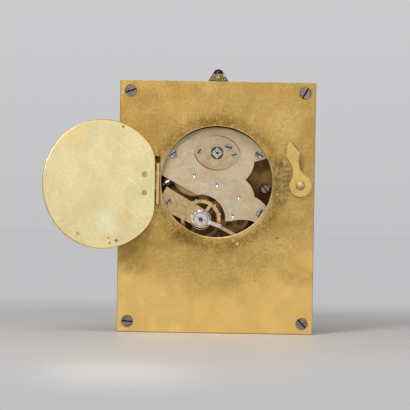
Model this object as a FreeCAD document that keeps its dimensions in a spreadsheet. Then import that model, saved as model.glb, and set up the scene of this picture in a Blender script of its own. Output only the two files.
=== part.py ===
import FreeCAD, Part
import math
import os
import re
import Sketcher
from FreeCAD import Placement, Rotation, Vector

# A table clock seen from behind: X runs across, Z up from the table, and the back faces +Y.
# All sizes are millimetres, and angles are degrees.

SIZES = {
    # case
    "case_width": 66.0,
    "case_height": 84.8,
    "frame_wall": 4.1,
    "frame_round": 0.5,
    "corner_block": 7.2,
    "rebate_border": 2.2,
    "panel_thick": 1.4,
    "panel_gap": 0.1,
    "edge_break": 0.25,
    "movement_radius": 20.3,
    "movement_drop": 34.9,
    "opening_rise": 1.1,
    # back plate and its screws
    "plate_thick": 1.5,
    "plate_inset": 0.08,
    "opening_lap": 1.55,
    "opening_bevel": 0.22,
    "screw_inset": 3.65,
    "screw_head_radius": 1.85,
    "screw_head_height": 0.9,
    "screw_head_proud": 0.3,
    "screw_head_gap": 0.22,
    "screw_shank_radius": 0.8,
    "screw_shank_length": 6.0,
    "screw_hole_gap": 0.06,
    "screw_slot_width": 0.5,
    "screw_slot_depth": 0.55,
    # hinge and lid
    "hinge_offset": 1.15,
    "hinge_rise": 0.82,
    "hinge_drop": 7.8,
    "knuckle_radius": 0.78,
    "lower_knuckle": 4.2,
    "middle_knuckle": 6.4,
    "upper_knuckle": 2.7,
    "knuckle_gap": 0.18,
    "hinge_pin_radius": 0.35,
    "pin_gap": 0.04,
    "leaf_slot_width": 1.7,
    "leaf_slot_depth": 0.9,
    "leaf_slot_spare": 2.4,
    "leaf_gap": 0.1,
    "leaf_web": 1.0,
    "lid_lap": 2.75,
    "lid_drop": 1.45,
    "lid_thick": 0.9,
    "lid_gap": 0.1,
    "lid_flat_gap": 1.15,
    "lid_corner": 11.0,
    "lid_bevel": 0.2,
    "lid_open_angle": 155.0,
    "lid_leaf_thick": 0.4,
    "lid_leaf_reach": 6.8,
    "lid_rivet_radius": 0.95,
    "lid_rivet_spacing": 6.2,
    "lid_rivet_place": 5.1,
    "lid_rivet_lift": 0.45,
    "lid_rivet_proud": 0.12,
    # latch
    "latch_inset": 4.9,
    "latch_fall": 0.9,
    "latch_length": 16.2,
    "latch_thick": 0.9,
    "latch_lean_angle": 14.9,
    "latch_eye": 3.75,
    "latch_hole": 1.05,
    "latch_collar_radius": 2.6,
    "latch_clearance": 0.2,
    "latch_rivet_head": 1.6,
    "latch_rivet_dome": 0.75,
    "latch_run_gap": 0.05,
    # crown and stem
    "crown_radius": 3.35,
    "crown_shoulder": 2.5,
    "crown_skirt_rim": 0.35,
    "crown_skirt_height": 1.6,
    "crown_collar_height": 2.45,
    "crown_collar_radius": 2.05,
    "crown_lift": 0.25,
    "crown_hollow": 1.95,
    "crown_hollow_depth": 1.1,
    "crown_flutes": 22,
    "crown_flute_radius": 0.26,
    "cabochon_radius": 1.8,
    "cabochon_height": 1.55,
    "cabochon_seat": 0.4,
    "stem_radius": 0.6,
    "stem_gap": 0.05,
    "stem_tube_radius": 1.75,
    "stem_tube_wall": 0.55,
    "stem_tube_below": 1.2,
    "stem_bush_length": 1.6,
    "stem_shoulder": 0.9,
    "stem_shoulder_length": 0.5,
    "stem_pull": 1.0,
    "winding_pins": 8,
    "winding_pin_length": 0.9,
    "winding_disc_thick": 0.5,
    "winding_depth": 0.22,
    "winding_slot_gap": 0.22,
    # levels of the movement, from the back plate forward
    "movement_setback": 0.9,
    "top_plate_thick": 1.6,
    "train_gap": 4.8,
    "pillar_plate_thick": 1.6,
    "motion_gap": 1.9,
    "dial_thick": 0.7,
    "dial_inset": 0.6,
    "dial_seat": 2.3,
    "dial_hole": 1.6,
    "dial_foot_radius": 0.5,
    # tooth counts
    "barrel_teeth": 72,
    "intermediate_leaves": 12,
    "intermediate_teeth": 64,
    "centre_leaves": 12,
    "centre_teeth": 80,
    "third_leaves": 10,
    "third_teeth": 75,
    "fourth_leaves": 10,
    "fourth_teeth": 80,
    "escape_leaves": 8,
    "escape_teeth": 15,
    "ratchet_teeth": 20,
    "cannon_leaves": 12,
    "minute_teeth": 36,
    "minute_leaves": 10,
    "hour_teeth": 40,
    # wheels
    "wheel_thick": 0.36,
    "leaf_length": 0.66,
    "arbor_radius": 0.32,
    "pivot_radius": 0.2,
    "pivot_gap": 0.03,
    "end_shake": 0.06,
    "wheel_hole_share": 0.2,
    "wheel_hole_circle_share": 0.58,
    "fourth_level": 1.0,
    "third_level": 1.8,
    "escape_level": 2.42,
    "centre_level": 3.0,
    "intermediate_level": 3.98,
    # barrel
    "barrel_height": 2.45,
    "barrel_wall": 0.5,
    "barrel_floor": 0.45,
    "barrel_lid_thick": 0.35,
    "barrel_lift": 0.15,
    "barrel_arbor_radius": 1.2,
    "barrel_arbor_seat": 0.96,
    "barrel_arbor_square": 2.85,
    "barrel_arbor_proud": 0.25,
    "arbor_square_angle": 45.0,
    "arbor_dimple_radius": 0.4,
    "arbor_dimple_depth": 0.35,
    "mainspring_thick": 0.22,
    "mainspring_pitch": 0.78,
    "mainspring_start": 1.75,
    "mainspring_gap": 0.25,
    # winding work under the barrel cap
    "ratchet_sink": 1.1,
    "ratchet_tip_share": 1.8,
    "ratchet_thick": 0.6,
    "ratchet_recess_gap": 0.35,
    "ratchet_floor": 0.4,
    "click_angle": 168.3,
    "click_gap": 0.3,
    "click_hole": 0.38,
    "click_screw_head": 1.215,
    "cap_thick": 0.35,
    "cap_tilt_angle": 4.0,
    "small_screw_head": 0.9,
    "small_screw_rise": 0.28,
    "small_screw_shank": 0.45,
    "small_screw_length": 0.9,
    "small_slot_width": 0.36,
    "small_slot_depth": 0.22,
    # plate furniture
    "pillar_radius": 1.5,
    "plate_screw_head": 1.5,
    "plate_screw_rise": 0.4,
    "plate_screw_shank": 0.7,
    "plate_screw_length": 3.0,
    "cup_radius": 1.0,
    "cup_rise": 0.06,
    "cup_sink_radius": 1.1,
    "cup_sink": 0.34,
    "cup_depth": 0.7,
    "dog_screw_head": 1.35,
    "dog_screw_rise": 0.45,
    # balance and its cock
    "cock_angle": 25.0,
    "cock_rise": 0.15,
    "cock_thick": 1.0,
    "cock_screw_head": 1.15,
    "balance_thick": 0.75,
    "balance_level": 4.05,
    "balance_arm": 1.1,
    "balance_arm_angle": 56.1,
    "balance_hub": 1.1,
    "balance_screws": 12,
    "balance_screw_radius": 0.3,
    "balance_screw_length": 0.4,
    "staff_radius": 0.45,
    "roller_thick": 0.3,
    "roller_level": 3.0,
    "hairspring_start": 0.75,
    "hairspring_pitch": 0.42,
    "hairspring_thick": 0.09,
    "hairspring_height": 0.3,
    "hairspring_level": 5.1,
    "stud_radius": 0.35,
    "regulator_thick": 0.35,
    "regulator_ring_rise": 0.5,
    "regulator_bevel": 0.6,
    "regulator_arm_width": 0.7,
    "regulator_tail_width": 1.3,
    "regulator_angle": 18.7,
    "end_cap_rise": 0.66,
    "end_cap_bevel": 0.22,
    "end_cap_sink": 0.24,
    "end_jewel_hole": 0.62,
    "end_jewel_rise": 0.385,
    # small cock beside the balance
    "side_cock_level": 3.1,
    "side_cock_thick": 0.8,
    "side_cock_width": 1.1,
    "side_cock_angle": 153.3,
    "side_cock_foot": 0.5,
    # escapement
    "fork_thick": 0.3,
    "fork_arm_width": 0.272,
    "fork_handle_width": 0.255,
    "stone_gap": 0.1,
    "pallet_cock_thick": 0.5,
    "pallet_cock_gap": 0.12,
    "pallet_swing_angle": 6.0,
    # movement ring, bezel and glass
    "ring_wall": 1.9,
    "ring_gap": 0.15,
    "ring_step": 0.35,
    "case_screw_head": 1.3,
    "case_screw_angle": 52.0,
    "case_screw_rise": 0.6,
    "case_screw_lap": 0.52,
    "bezel_width": 2.75,
    "bezel_height": 2.2,
    "bezel_tube_wall": 0.8,
    "bezel_sight_lip": 1.35,
    "bezel_tube_gap": 0.06,
    "bezel_tube_length": 1.1,
    "bezel_lip": 0.8,
    "glass_gap": 0.08,
    "glass_rim": 0.9,
    "glass_dome": 1.5,
    # dial side
    "cannon_radius": 0.62,
    "cannon_bore": 0.4,
    "centre_post_radius": 0.36,
    "hour_pipe_radius": 1.0,
    "pipe_gap": 0.06,
    "motion_wheel_thick": 0.3,
    "motion_step": 0.16,
    "hour_hand_lift": 0.25,
    "hand_thick": 0.18,
    "hand_step": 0.45,
    "hour_hand_angle": 305.0,
    "minute_hand_angle": 48.0,
    "cannon_cap": 0.35,
}

# The movement's layout in plan, as shares of its radius.
MOVEMENT_SHARES = {
    # plates
    "top_plate_radius_share": 0.955665,
    "dial_foot_across_share": 0.891626,
    # arbors, from the centre of the movement
    "barrel_up_share": 0.53202,
    "intermediate_across_share": 0.37931,
    "intermediate_up_share": 0.152709,
    "third_across_share": 0.364532,
    "third_down_share": 0.196059,
    "fourth_across_share": 0.271921,
    "fourth_down_share": 0.508867,
    "escape_across_share": 0.021182,
    "escape_down_share": 0.402463,
    "pallet_across_share": 0.135961,
    "pallet_down_share": 0.487685,
    "balance_across_share": 0.255172,
    "balance_down_share": 0.575369,
    "minute_wheel_across_share": 0.157635,
    # wheels and winding work
    "escape_radius_share": 0.119212,
    "escape_root_share": 0.098522,
    "barrel_radius_share": 0.408867,
    "ratchet_radius_share": 0.137931,
    "winding_pin_circle_share": 0.055172,
    "winding_pin_radius_share": 0.006404,
    "winding_disc_radius_share": 0.065025,
    # click and barrel cap
    "click_across_share": 0.191133,
    "click_up_share": 0.097044,
    "click_boss_share": 0.035468,
    "click_width_share": 0.02266,
    "click_length_share": 0.142857,
    "cap_length_share": 0.753695,
    "cap_width_share": 0.55665,
    "cap_tip_share": 0.044335,
    "cap_hole_share": 0.105911,
    "cap_screw_across_share": 0.295567,
    "cap_screw_up_share": 0.024631,
    "cap_pin_across_share": 0.282759,
    "cap_pin_down_share": 0.022167,
    # screws of the plates
    "left_screw_across_share": 0.736946,
    "left_screw_up_share": 0.507389,
    "right_screw_across_share": 0.704433,
    "right_screw_up_share": 0.517241,
    "low_screw_across_share": 0.73399,
    "low_screw_down_share": 0.459113,
    "dog_screw_across_share": 0.815271,
    "dog_screw_up_share": 0.051724,
    "balance_bite_share": 0.410345,
    # balance, its cock and the regulator
    "cock_half_width_share": 0.172414,
    "cock_low_width_share": 0.133005,
    "cock_foot_width_share": 0.243842,
    "cock_length_share": 0.748768,
    "cock_foot_start_share": 0.472906,
    "cock_screw_place_share": 0.610837,
    "cock_screw_side_share": 0.027094,
    "balance_radius_share": 0.330049,
    "balance_rim_share": 0.05665,
    "roller_radius_share": 0.05665,
    "regulator_ring_share": 0.162562,
    "regulator_bore_share": 0.123153,
    "regulator_arm_share": 0.576355,
    "regulator_tail_share": 0.359606,
    "end_cap_radius_share": 0.12069,
    "side_cock_across_share": 0.087192,
    "side_cock_down_share": 0.70936,
    "side_cock_length_share": 0.295567,
    # escapement
    "fork_width_share": 0.012808,
    "fork_reach_share": 0.073892,
    "stone_width_share": 0.016749,
    "pallet_cock_radius_share": 0.041872,
    "pallet_cock_nose_share": 0.02069,
    "pallet_foot_across_share": 0.041872,
    "pallet_foot_down_share": 0.6133,
    "pallet_foot_radius_share": 0.034483,
    # hands
    "hour_hand_length_share": 0.512315,
    "minute_hand_length_share": 0.768473,
    "hand_boss_share": 0.076355,
}

# Places that follow from the sizes: levels along Y, heights along Z, and points across.
PLACES = {
    "movement_height": "case_height - movement_drop",
    "plate_stack": "motion_gap + pillar_plate_thick + train_gap + top_plate_thick",
    "frame_depth": "panel_thick + dial_seat + plate_stack + movement_setback",
    "pillar_plate_radius": "movement_radius",
    "dial_radius": "movement_radius - dial_inset",
    "opening_radius": "movement_radius - opening_lap",
    "ring_bore": "movement_radius + ring_step",
    "bezel_radius": "ring_bore + bezel_width",
    "bezel_seat": "ring_bore - bezel_tube_wall",
    "bezel_sight": "bezel_seat - bezel_sight_lip",
    "latch_across": "case_width / 2 - latch_inset",
    "latch_height": "opening_height - latch_fall",
    "plate_out": "(frame_depth + plate_thick) / 2",
    "plate_in": "plate_out - plate_thick",
    "frame_front": "-plate_out",
    "panel_in": "frame_front + panel_thick",
    "top_out": "plate_in - movement_setback",
    "top_in": "top_out - top_plate_thick",
    "pillar_out": "top_in - train_gap",
    "pillar_in": "pillar_out - pillar_plate_thick",
    "dial_in": "pillar_in - motion_gap",
    "dial_out": "dial_in - dial_thick",
    "opening_height": "movement_height + opening_rise",
    "hinge_across": "opening_radius + hinge_offset",
    "hinge_out": "plate_out + hinge_rise",
    "lid_radius": "opening_radius + lid_lap",
    "lid_height": "opening_height - lid_drop",
    "latch_under": "plate_out + lid_gap + lid_thick + latch_clearance",
    "knuckle_low": "opening_height - hinge_drop",
    "knuckle_mid": "knuckle_low + lower_knuckle + knuckle_gap",
    "knuckle_high": "knuckle_mid + middle_knuckle + knuckle_gap",
    "knuckle_end": "knuckle_high + upper_knuckle",
    "barrel_height_up": "movement_height + barrel_up",
    "ratchet_in": "top_out - ratchet_sink",
    "ratchet_tip": "ratchet_radius + ratchet_radius / ratchet_teeth * ratchet_tip_share",
    "stem_out": "ratchet_in + ratchet_thick / 2 - winding_pin_circle",
    "winding_end": "barrel_height_up + ratchet_tip - winding_depth",
    "crown_under": "case_height + crown_lift",
    "cap_out": "top_out + cap_thick",
    "balance_up": "movement_height - balance_down",
    "cock_in": "top_out + cock_rise - cock_thick",
    "cock_out": "top_out + cock_rise",
    "panel_width": "case_width - 2 * rebate_border",
    "glass_front": "frame_front - bezel_height + bezel_lip + glass_gap",
    "tooth_level": "pillar_out + barrel_lift",
    "cannon_front": "dial_out - hour_hand_lift - hand_step - hand_thick - cannon_cap",
}
for name, share in MOVEMENT_SHARES.items():
    PLACES[name.removesuffix("_share")] = f"movement_radius * {share}"

DOC = FreeCAD.newDocument("table_clock")
SHEET = DOC.addObject("Spreadsheet::Sheet", "Sizes")
for row, (name, size) in enumerate(SIZES.items(), 1):
    SHEET.set(f"A{row}", name)
    SHEET.set(f"B{row}", str(size))
    SHEET.setAlias(f"B{row}", name)
DOC.recompute()

NODES = {}
TURNS = {"Y": Rotation(Vector(1, 0, 0), -90), "Z": Rotation(), "X": Rotation(Vector(0, 1, 0), 90)}


def bound(text):
    """Write a sum of size and place names as an expression on the sheet."""

    def swap(match):
        word = match.group(0)
        if word in PLACES:
            return "(" + bound(PLACES[word]) + ")"
        return "Sizes." + word if word in SIZES else word

    return re.sub(r"[a-z_]+", swap, text)


def value(text):
    """The number that a sum of size and place names comes to."""
    return float(SHEET.evalExpression(bound(text)))


def keep(node, item):
    """Name an object as one of the clock's pieces."""
    item.Label = node
    NODES[node] = item
    return item


def put(item, at, turn=None):
    """Place an object at three sums, after a turn about its own origin."""
    item.Placement = Placement(Vector(), turn or Rotation())
    for axis, text in zip("xyz", at):
        item.setExpression("Placement.Base." + axis, bound(text))
    return item


def cylinder(name, radius, height, at, along="Y"):
    item = DOC.addObject("Part::Cylinder", name)
    item.setExpression("Radius", bound(radius))
    item.setExpression("Height", bound(height))
    return put(item, at, TURNS[along])


def cone(name, low, high, height, at, along="Y"):
    item = DOC.addObject("Part::Cone", name)
    item.setExpression("Radius1", bound(low))
    item.setExpression("Radius2", bound(high))
    item.setExpression("Height", bound(height))
    return put(item, at, TURNS[along])


def box(name, sides, corner):
    item = DOC.addObject("Part::Box", name)
    for side, text in zip(("Length", "Width", "Height"), sides):
        item.setExpression(side, bound(text))
    return put(item, corner)


def bar(name, sides, start, at, turn):
    """A box from its start, turned about the Y axis at a point by a named angle."""
    item = box(name + "_bar", sides, start)
    turned = group(name, [item])
    put(turned, at, Rotation(Vector(0, 1, 0), value(turn)))
    turned.setExpression("Placement.Rotation.Angle", bound(turn))
    return turned


def fuse(name, *items):
    item = DOC.addObject("Part::MultiFuse", name)
    item.Shapes = list(items)
    item.Refine = True
    return item


def cut(name, base, *tools):
    item = DOC.addObject("Part::Cut", name)
    item.Base = base
    item.Tool = tools[0] if len(tools) == 1 else fuse(name + "_tools", *tools)
    item.Refine = True
    return item


def ring(name, outer, inner, height, at, along="Y"):
    return cut(
        name,
        cylinder(name + "_outer", outer, height, at, along),
        cylinder(name + "_inner", inner, height, at, along),
    )


def group(name, items):
    item = DOC.addObject("Part::Compound", name)
    item.Links = items
    return item


def made(name, shape):
    """A piece whose outline comes from a formula, kept as a plain feature."""
    item = DOC.addObject("Part::Feature", name)
    item.Shape = shape
    return item


# Sketched bodies


def body(name):
    return DOC.addObject("PartDesign::Body", name)


def origin(item, role):
    return [feature for feature in item.Origin.OriginFeatures if feature.Role == role][0]


def sketch(item, name, level="0", plane="XZ_Plane"):
    """A sketch on a plane of the body's origin; on XZ its level is along +Y."""
    drawn = item.newObject("Sketcher::SketchObject", name)
    drawn.AttachmentSupport = (origin(item, plane), [""])
    drawn.MapMode = "FlatFace"
    sign = "-" if plane == "XZ_Plane" else ""
    drawn.setExpression("AttachmentOffset.Base.z", f"{sign}({bound(level)})")
    return drawn


def fix(drawn, geo, point, at):
    """Hold one point of a sketch at two sums."""
    for kind, text in zip(("DistanceX", "DistanceY"), at):
        number = drawn.addConstraint(Sketcher.Constraint(kind, -1, 1, geo, point, value(text)))
        drawn.setExpression(f"Constraints[{number}]", bound(text))


def circle(drawn, radius, at=("0", "0")):
    centre = Vector(value(at[0]), value(at[1]), 0)
    geo = drawn.addGeometry(Part.Circle(centre, Vector(0, 0, 1), value(radius)), False)
    number = drawn.addConstraint(Sketcher.Constraint("Radius", geo, value(radius)))
    drawn.setExpression(f"Constraints[{number}]", bound(radius))
    fix(drawn, geo, 3, at)


def outline(drawn, points):
    """A closed outline. A point is two sums, or four where an arc passes a point on the way to it.
    A third entry after the two sums marks an arc about a point on the vertical axis."""
    domes = [len(point) == 3 for point in points]
    points = [point[:2] if len(point) == 3 else point for point in points]
    ends = [Vector(value(p[-2]), value(p[-1]), 0) for p in points]
    geos = []
    for place, point in enumerate(points):
        start, end = ends[place - 1], ends[place]
        if domes[place]:
            rise = (end.Length ** 2 - start.Length ** 2) / (2 * (end.y - start.y))
            centre = Vector(0, rise, 0)
            middle = start + end - centre * 2
            curve = Part.Arc(start, centre + middle.normalize() * (end - centre).Length, end)
        elif len(point) == 2:
            curve = Part.LineSegment(start, end)
        else:
            curve = Part.Arc(start, Vector(value(point[0]), value(point[1]), 0), end)
        geos.append(drawn.addGeometry(curve, False))
    near = lambda geo, spot: 1 if (drawn.getPoint(geo, 1) - spot).Length < 1e-6 else 2
    first = [near(geo, ends[place - 1]) for place, geo in enumerate(geos)]
    last = [3 - point for point in first]
    for place, geo in enumerate(geos):
        after = (place + 1) % len(geos)
        drawn.addConstraint(
            Sketcher.Constraint("Coincident", geo, last[place], geos[after], first[after])
        )
    for place, point in enumerate(points):
        fix(drawn, geos[place], last[place], point[-2:])
        if domes[place]:
            drawn.addConstraint(Sketcher.Constraint("DistanceX", -1, 1, geos[place], 3, 0))
        if len(point) == 4:
            spot = Part.Point(Vector(value(point[0]), value(point[1]), 0))
            mark = drawn.addGeometry(spot, True)
            fix(drawn, mark, 1, point[:2])
            drawn.addConstraint(Sketcher.Constraint("PointOnObject", mark, 1, geos[place]))


def rectangle(drawn, left, low, right, high):
    outline(drawn, [(left, low), (right, low), (right, high), (left, high)])


def pad(item, drawn, length, flip=True):
    """Grow a sketch on XZ toward +Y, or on XY toward +Z when flip is off."""
    grown = item.newObject("PartDesign::Pad", drawn.Name + "_pad")
    grown.Profile = drawn
    grown.setExpression("Length", bound(length))
    grown.Reversed = flip
    return grown


def pocket(item, drawn, depth=None, toward_back=True):
    """Cut a sketch on XZ toward +Y by a depth, or right through both ways."""
    before = item.Shape.Volume
    carved = item.newObject("PartDesign::Pocket", drawn.Name + "_pocket")
    carved.Profile = drawn
    if depth is None:
        carved.Type = "ThroughAll"
        carved.Midplane = True
    else:
        carved.setExpression("Length", bound(depth))
        carved.Reversed = not toward_back
    DOC.recompute()
    if not item.Shape.Volume < before:
        raise ValueError(f"{drawn.Name} cuts nothing")
    return carved


def revolved(name, points, axis="V_Axis", plane="YZ_Plane"):
    item = body(name)
    drawn = sketch(item, name + "_profile", plane=plane)
    outline(drawn, points)
    DOC.recompute()
    turned = item.newObject("PartDesign::Revolution", name + "_turn")
    turned.Profile = drawn
    turned.ReferenceAxis = (drawn, [axis])
    turned.Angle = 360
    DOC.recompute()
    return item


def bevel(item, size, chosen):
    """Break the edges of a body that a test picks out."""
    DOC.recompute()
    tip = item.Tip
    names = [f"Edge{number}" for number, edge in enumerate(tip.Shape.Edges, 1) if chosen(edge)]
    if not names:
        raise ValueError(f"{item.Name} has no edge to break")
    broken = item.newObject("PartDesign::Chamfer", item.Name + "_bevel")
    broken.Base = (tip, names)
    broken.setExpression("Size", bound(size))
    DOC.recompute()
    if broken.Shape.isNull() or not broken.isValid():
        raise ValueError(f"{item.Name} cannot take this bevel")
    return broken


def rounded(item, size, chosen):
    DOC.recompute()
    tip = item.Tip
    names = [f"Edge{number}" for number, edge in enumerate(tip.Shape.Edges, 1) if chosen(edge)]
    softened = item.newObject("PartDesign::Fillet", item.Name + "_round")
    softened.Base = (tip, names)
    softened.setExpression("Radius", bound(size))
    DOC.recompute()
    if softened.Shape.isNull() or not softened.isValid():
        raise ValueError(f"{item.Name} cannot take this rounding")
    return softened


def level(edge, text):
    """True for an edge that lies at one level along Y."""
    heights = [corner.Y for corner in edge.Vertexes] + [edge.CenterOfMass.y]
    return all(abs(height - value(text)) < 1e-4 for height in heights)


def upright(edge):
    """True for a straight edge along Y."""
    if len(edge.Vertexes) < 2:
        return False
    run = edge.Vertexes[1].Point - edge.Vertexes[0].Point
    return abs(run.y) > value("edge_break") and abs(run.x) + abs(run.z) < 1e-4


def slotted_screw(
    name, head, height, rise, shank, length, at, turn, slot=("screw_slot_width", "screw_slot_depth")
):
    """A screw whose head seat is at a point, with a turned slot across its head."""
    x, y, z = at
    slot_width, slot_depth = slot
    head_solid = cylinder(name + "_head", head, f"{height} + {rise}", (x, y, z))
    shank_solid = cylinder(name + "_shank", shank, length, (x, f"{y} - ({length})", z))
    blank = fuse(name + "_blank", head_solid, shank_solid)
    slot_solid = DOC.addObject("Part::Box", name + "_slot")
    for side, text in zip(
        ("Length", "Width", "Height"), (f"2 * {head}", f"2 * {slot_depth}", slot_width)
    ):
        slot_solid.setExpression(side, bound(text))
    put(slot_solid, (f"-{head}", f"-{slot_depth}", f"-{slot_width} / 2"))
    tool = group(name + "_slot_turned", [slot_solid])
    put(tool, (x, f"{y} + {height} + {rise}", z), Rotation(Vector(0, 1, 0), turn))
    return cut(name, blank, tool)


# Toothed wheels


def toothed(teeth, module, tip, root, tip_share, root_share, thick, lead):
    """A wheel of straight-sided teeth: tip and root in modules, widths as shares of the pitch."""
    radius = module * teeth / 2
    pitch = 2 * math.pi / teeth
    corners = []
    for tooth in range(teeth):
        middle = lead + tooth * pitch
        for reach, share in (
            (-root, -root_share), (tip, -tip_share), (tip, tip_share), (-root, root_share)
        ):
            angle = middle + share * pitch / 2
            far = radius + reach * module
            corners.append(Vector(far * math.cos(angle), 0, far * math.sin(angle)))
    face = Part.Face(Part.makePolygon(corners + corners[:1]))
    solid = face.extrude(Vector(0, thick, 0))
    return solid


def wheel_shape(teeth, module, lead, thick):
    return toothed(
        teeth,
        module,
        WHEEL_TIP_SHARE,
        WHEEL_ROOT_SHARE,
        TIP_WIDTH_SHARE,
        ROOT_WIDTH_SHARE,
        thick,
        lead,
    )


def leaf_shape(teeth, module, lead, thick):
    return toothed(
        teeth,
        module,
        LEAF_TIP_SHARE,
        LEAF_ROOT_SHARE,
        LEAF_WIDTH_SHARE,
        LEAF_BASE_SHARE,
        thick,
        lead,
    )


def rod(radius, low, high):
    return Part.makeCylinder(radius, high - low, Vector(0, low, 0), Vector(0, 1, 0))


def moved(shape, across, out, up):
    shape.translate(Vector(across, out, up))
    return shape


def pierced(shape, radius, thick, holes, bore=0):
    """Round windows around a wheel, so that it has arms."""
    tools = []
    for number in range(holes):
        angle = 2 * math.pi * number / holes
        far = radius * value("wheel_hole_circle_share")
        at = Vector(far * math.cos(angle), 0, far * math.sin(angle))
        tools.append(
            Part.makeCylinder(radius * value("wheel_hole_share"), thick, at, Vector(0, 1, 0))
        )
    return shape.cut(tools)


WHEEL_TIP_SHARE = 0.62
WHEEL_ROOT_SHARE = 0.75
TIP_WIDTH_SHARE = 0.14
ROOT_WIDTH_SHARE = 0.5
LEAF_TIP_SHARE = 0.1
LEAF_ROOT_SHARE = 0.95
LEAF_WIDTH_SHARE = 0.26
LEAF_BASE_SHARE = 0.3

ARBORS = {
    "barrel": (0, value("barrel_up")),
    "intermediate": (value("intermediate_across"), value("intermediate_up")),
    "centre": (0, 0),
    "third": (-value("third_across"), -value("third_down")),
    "fourth": (-value("fourth_across"), -value("fourth_down")),
    "escape": (value("escape_across"), -value("escape_down")),
    "pallet": (value("pallet_across"), -value("pallet_down")),
    "balance": (value("balance_across"), -value("balance_down")),
}


def span(first, second):
    """The distance between two arbors and the direction from the first to the second."""
    across = ARBORS[second][0] - ARBORS[first][0]
    up = ARBORS[second][1] - ARBORS[first][1]
    return math.hypot(across, up), math.atan2(up, across)


def mesh(first, second, teeth, leaves):
    """Module of a wheel and pinion, and the leads that put a tooth in a gap between them."""
    distance, direction = span(first, second)
    wheel_count, leaf_count = int(value(teeth)), int(value(leaves))
    module = 2 * distance / (wheel_count + leaf_count)
    return wheel_count, leaf_count, module, direction, direction + math.pi + math.pi / leaf_count


def at_arbor(shape, arbor):
    across, up = ARBORS[arbor]
    return moved(shape, across, 0, up + value("movement_height"))


def stack(shapes):
    whole = shapes[0].fuse(shapes[1:])
    return whole.removeSplitter()


# Case frame, panel and back plate

SCREW_SPOTS = [
    (side, height)
    for height in ("screw_inset", "case_height - screw_inset")
    for side in ("-case_width / 2 + screw_inset", "case_width / 2 - screw_inset")
]
PLATE_SLOT_TURNS = {0: -45.0, 1: -4.0, 2: 60.0, 3: 22.0}


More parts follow.
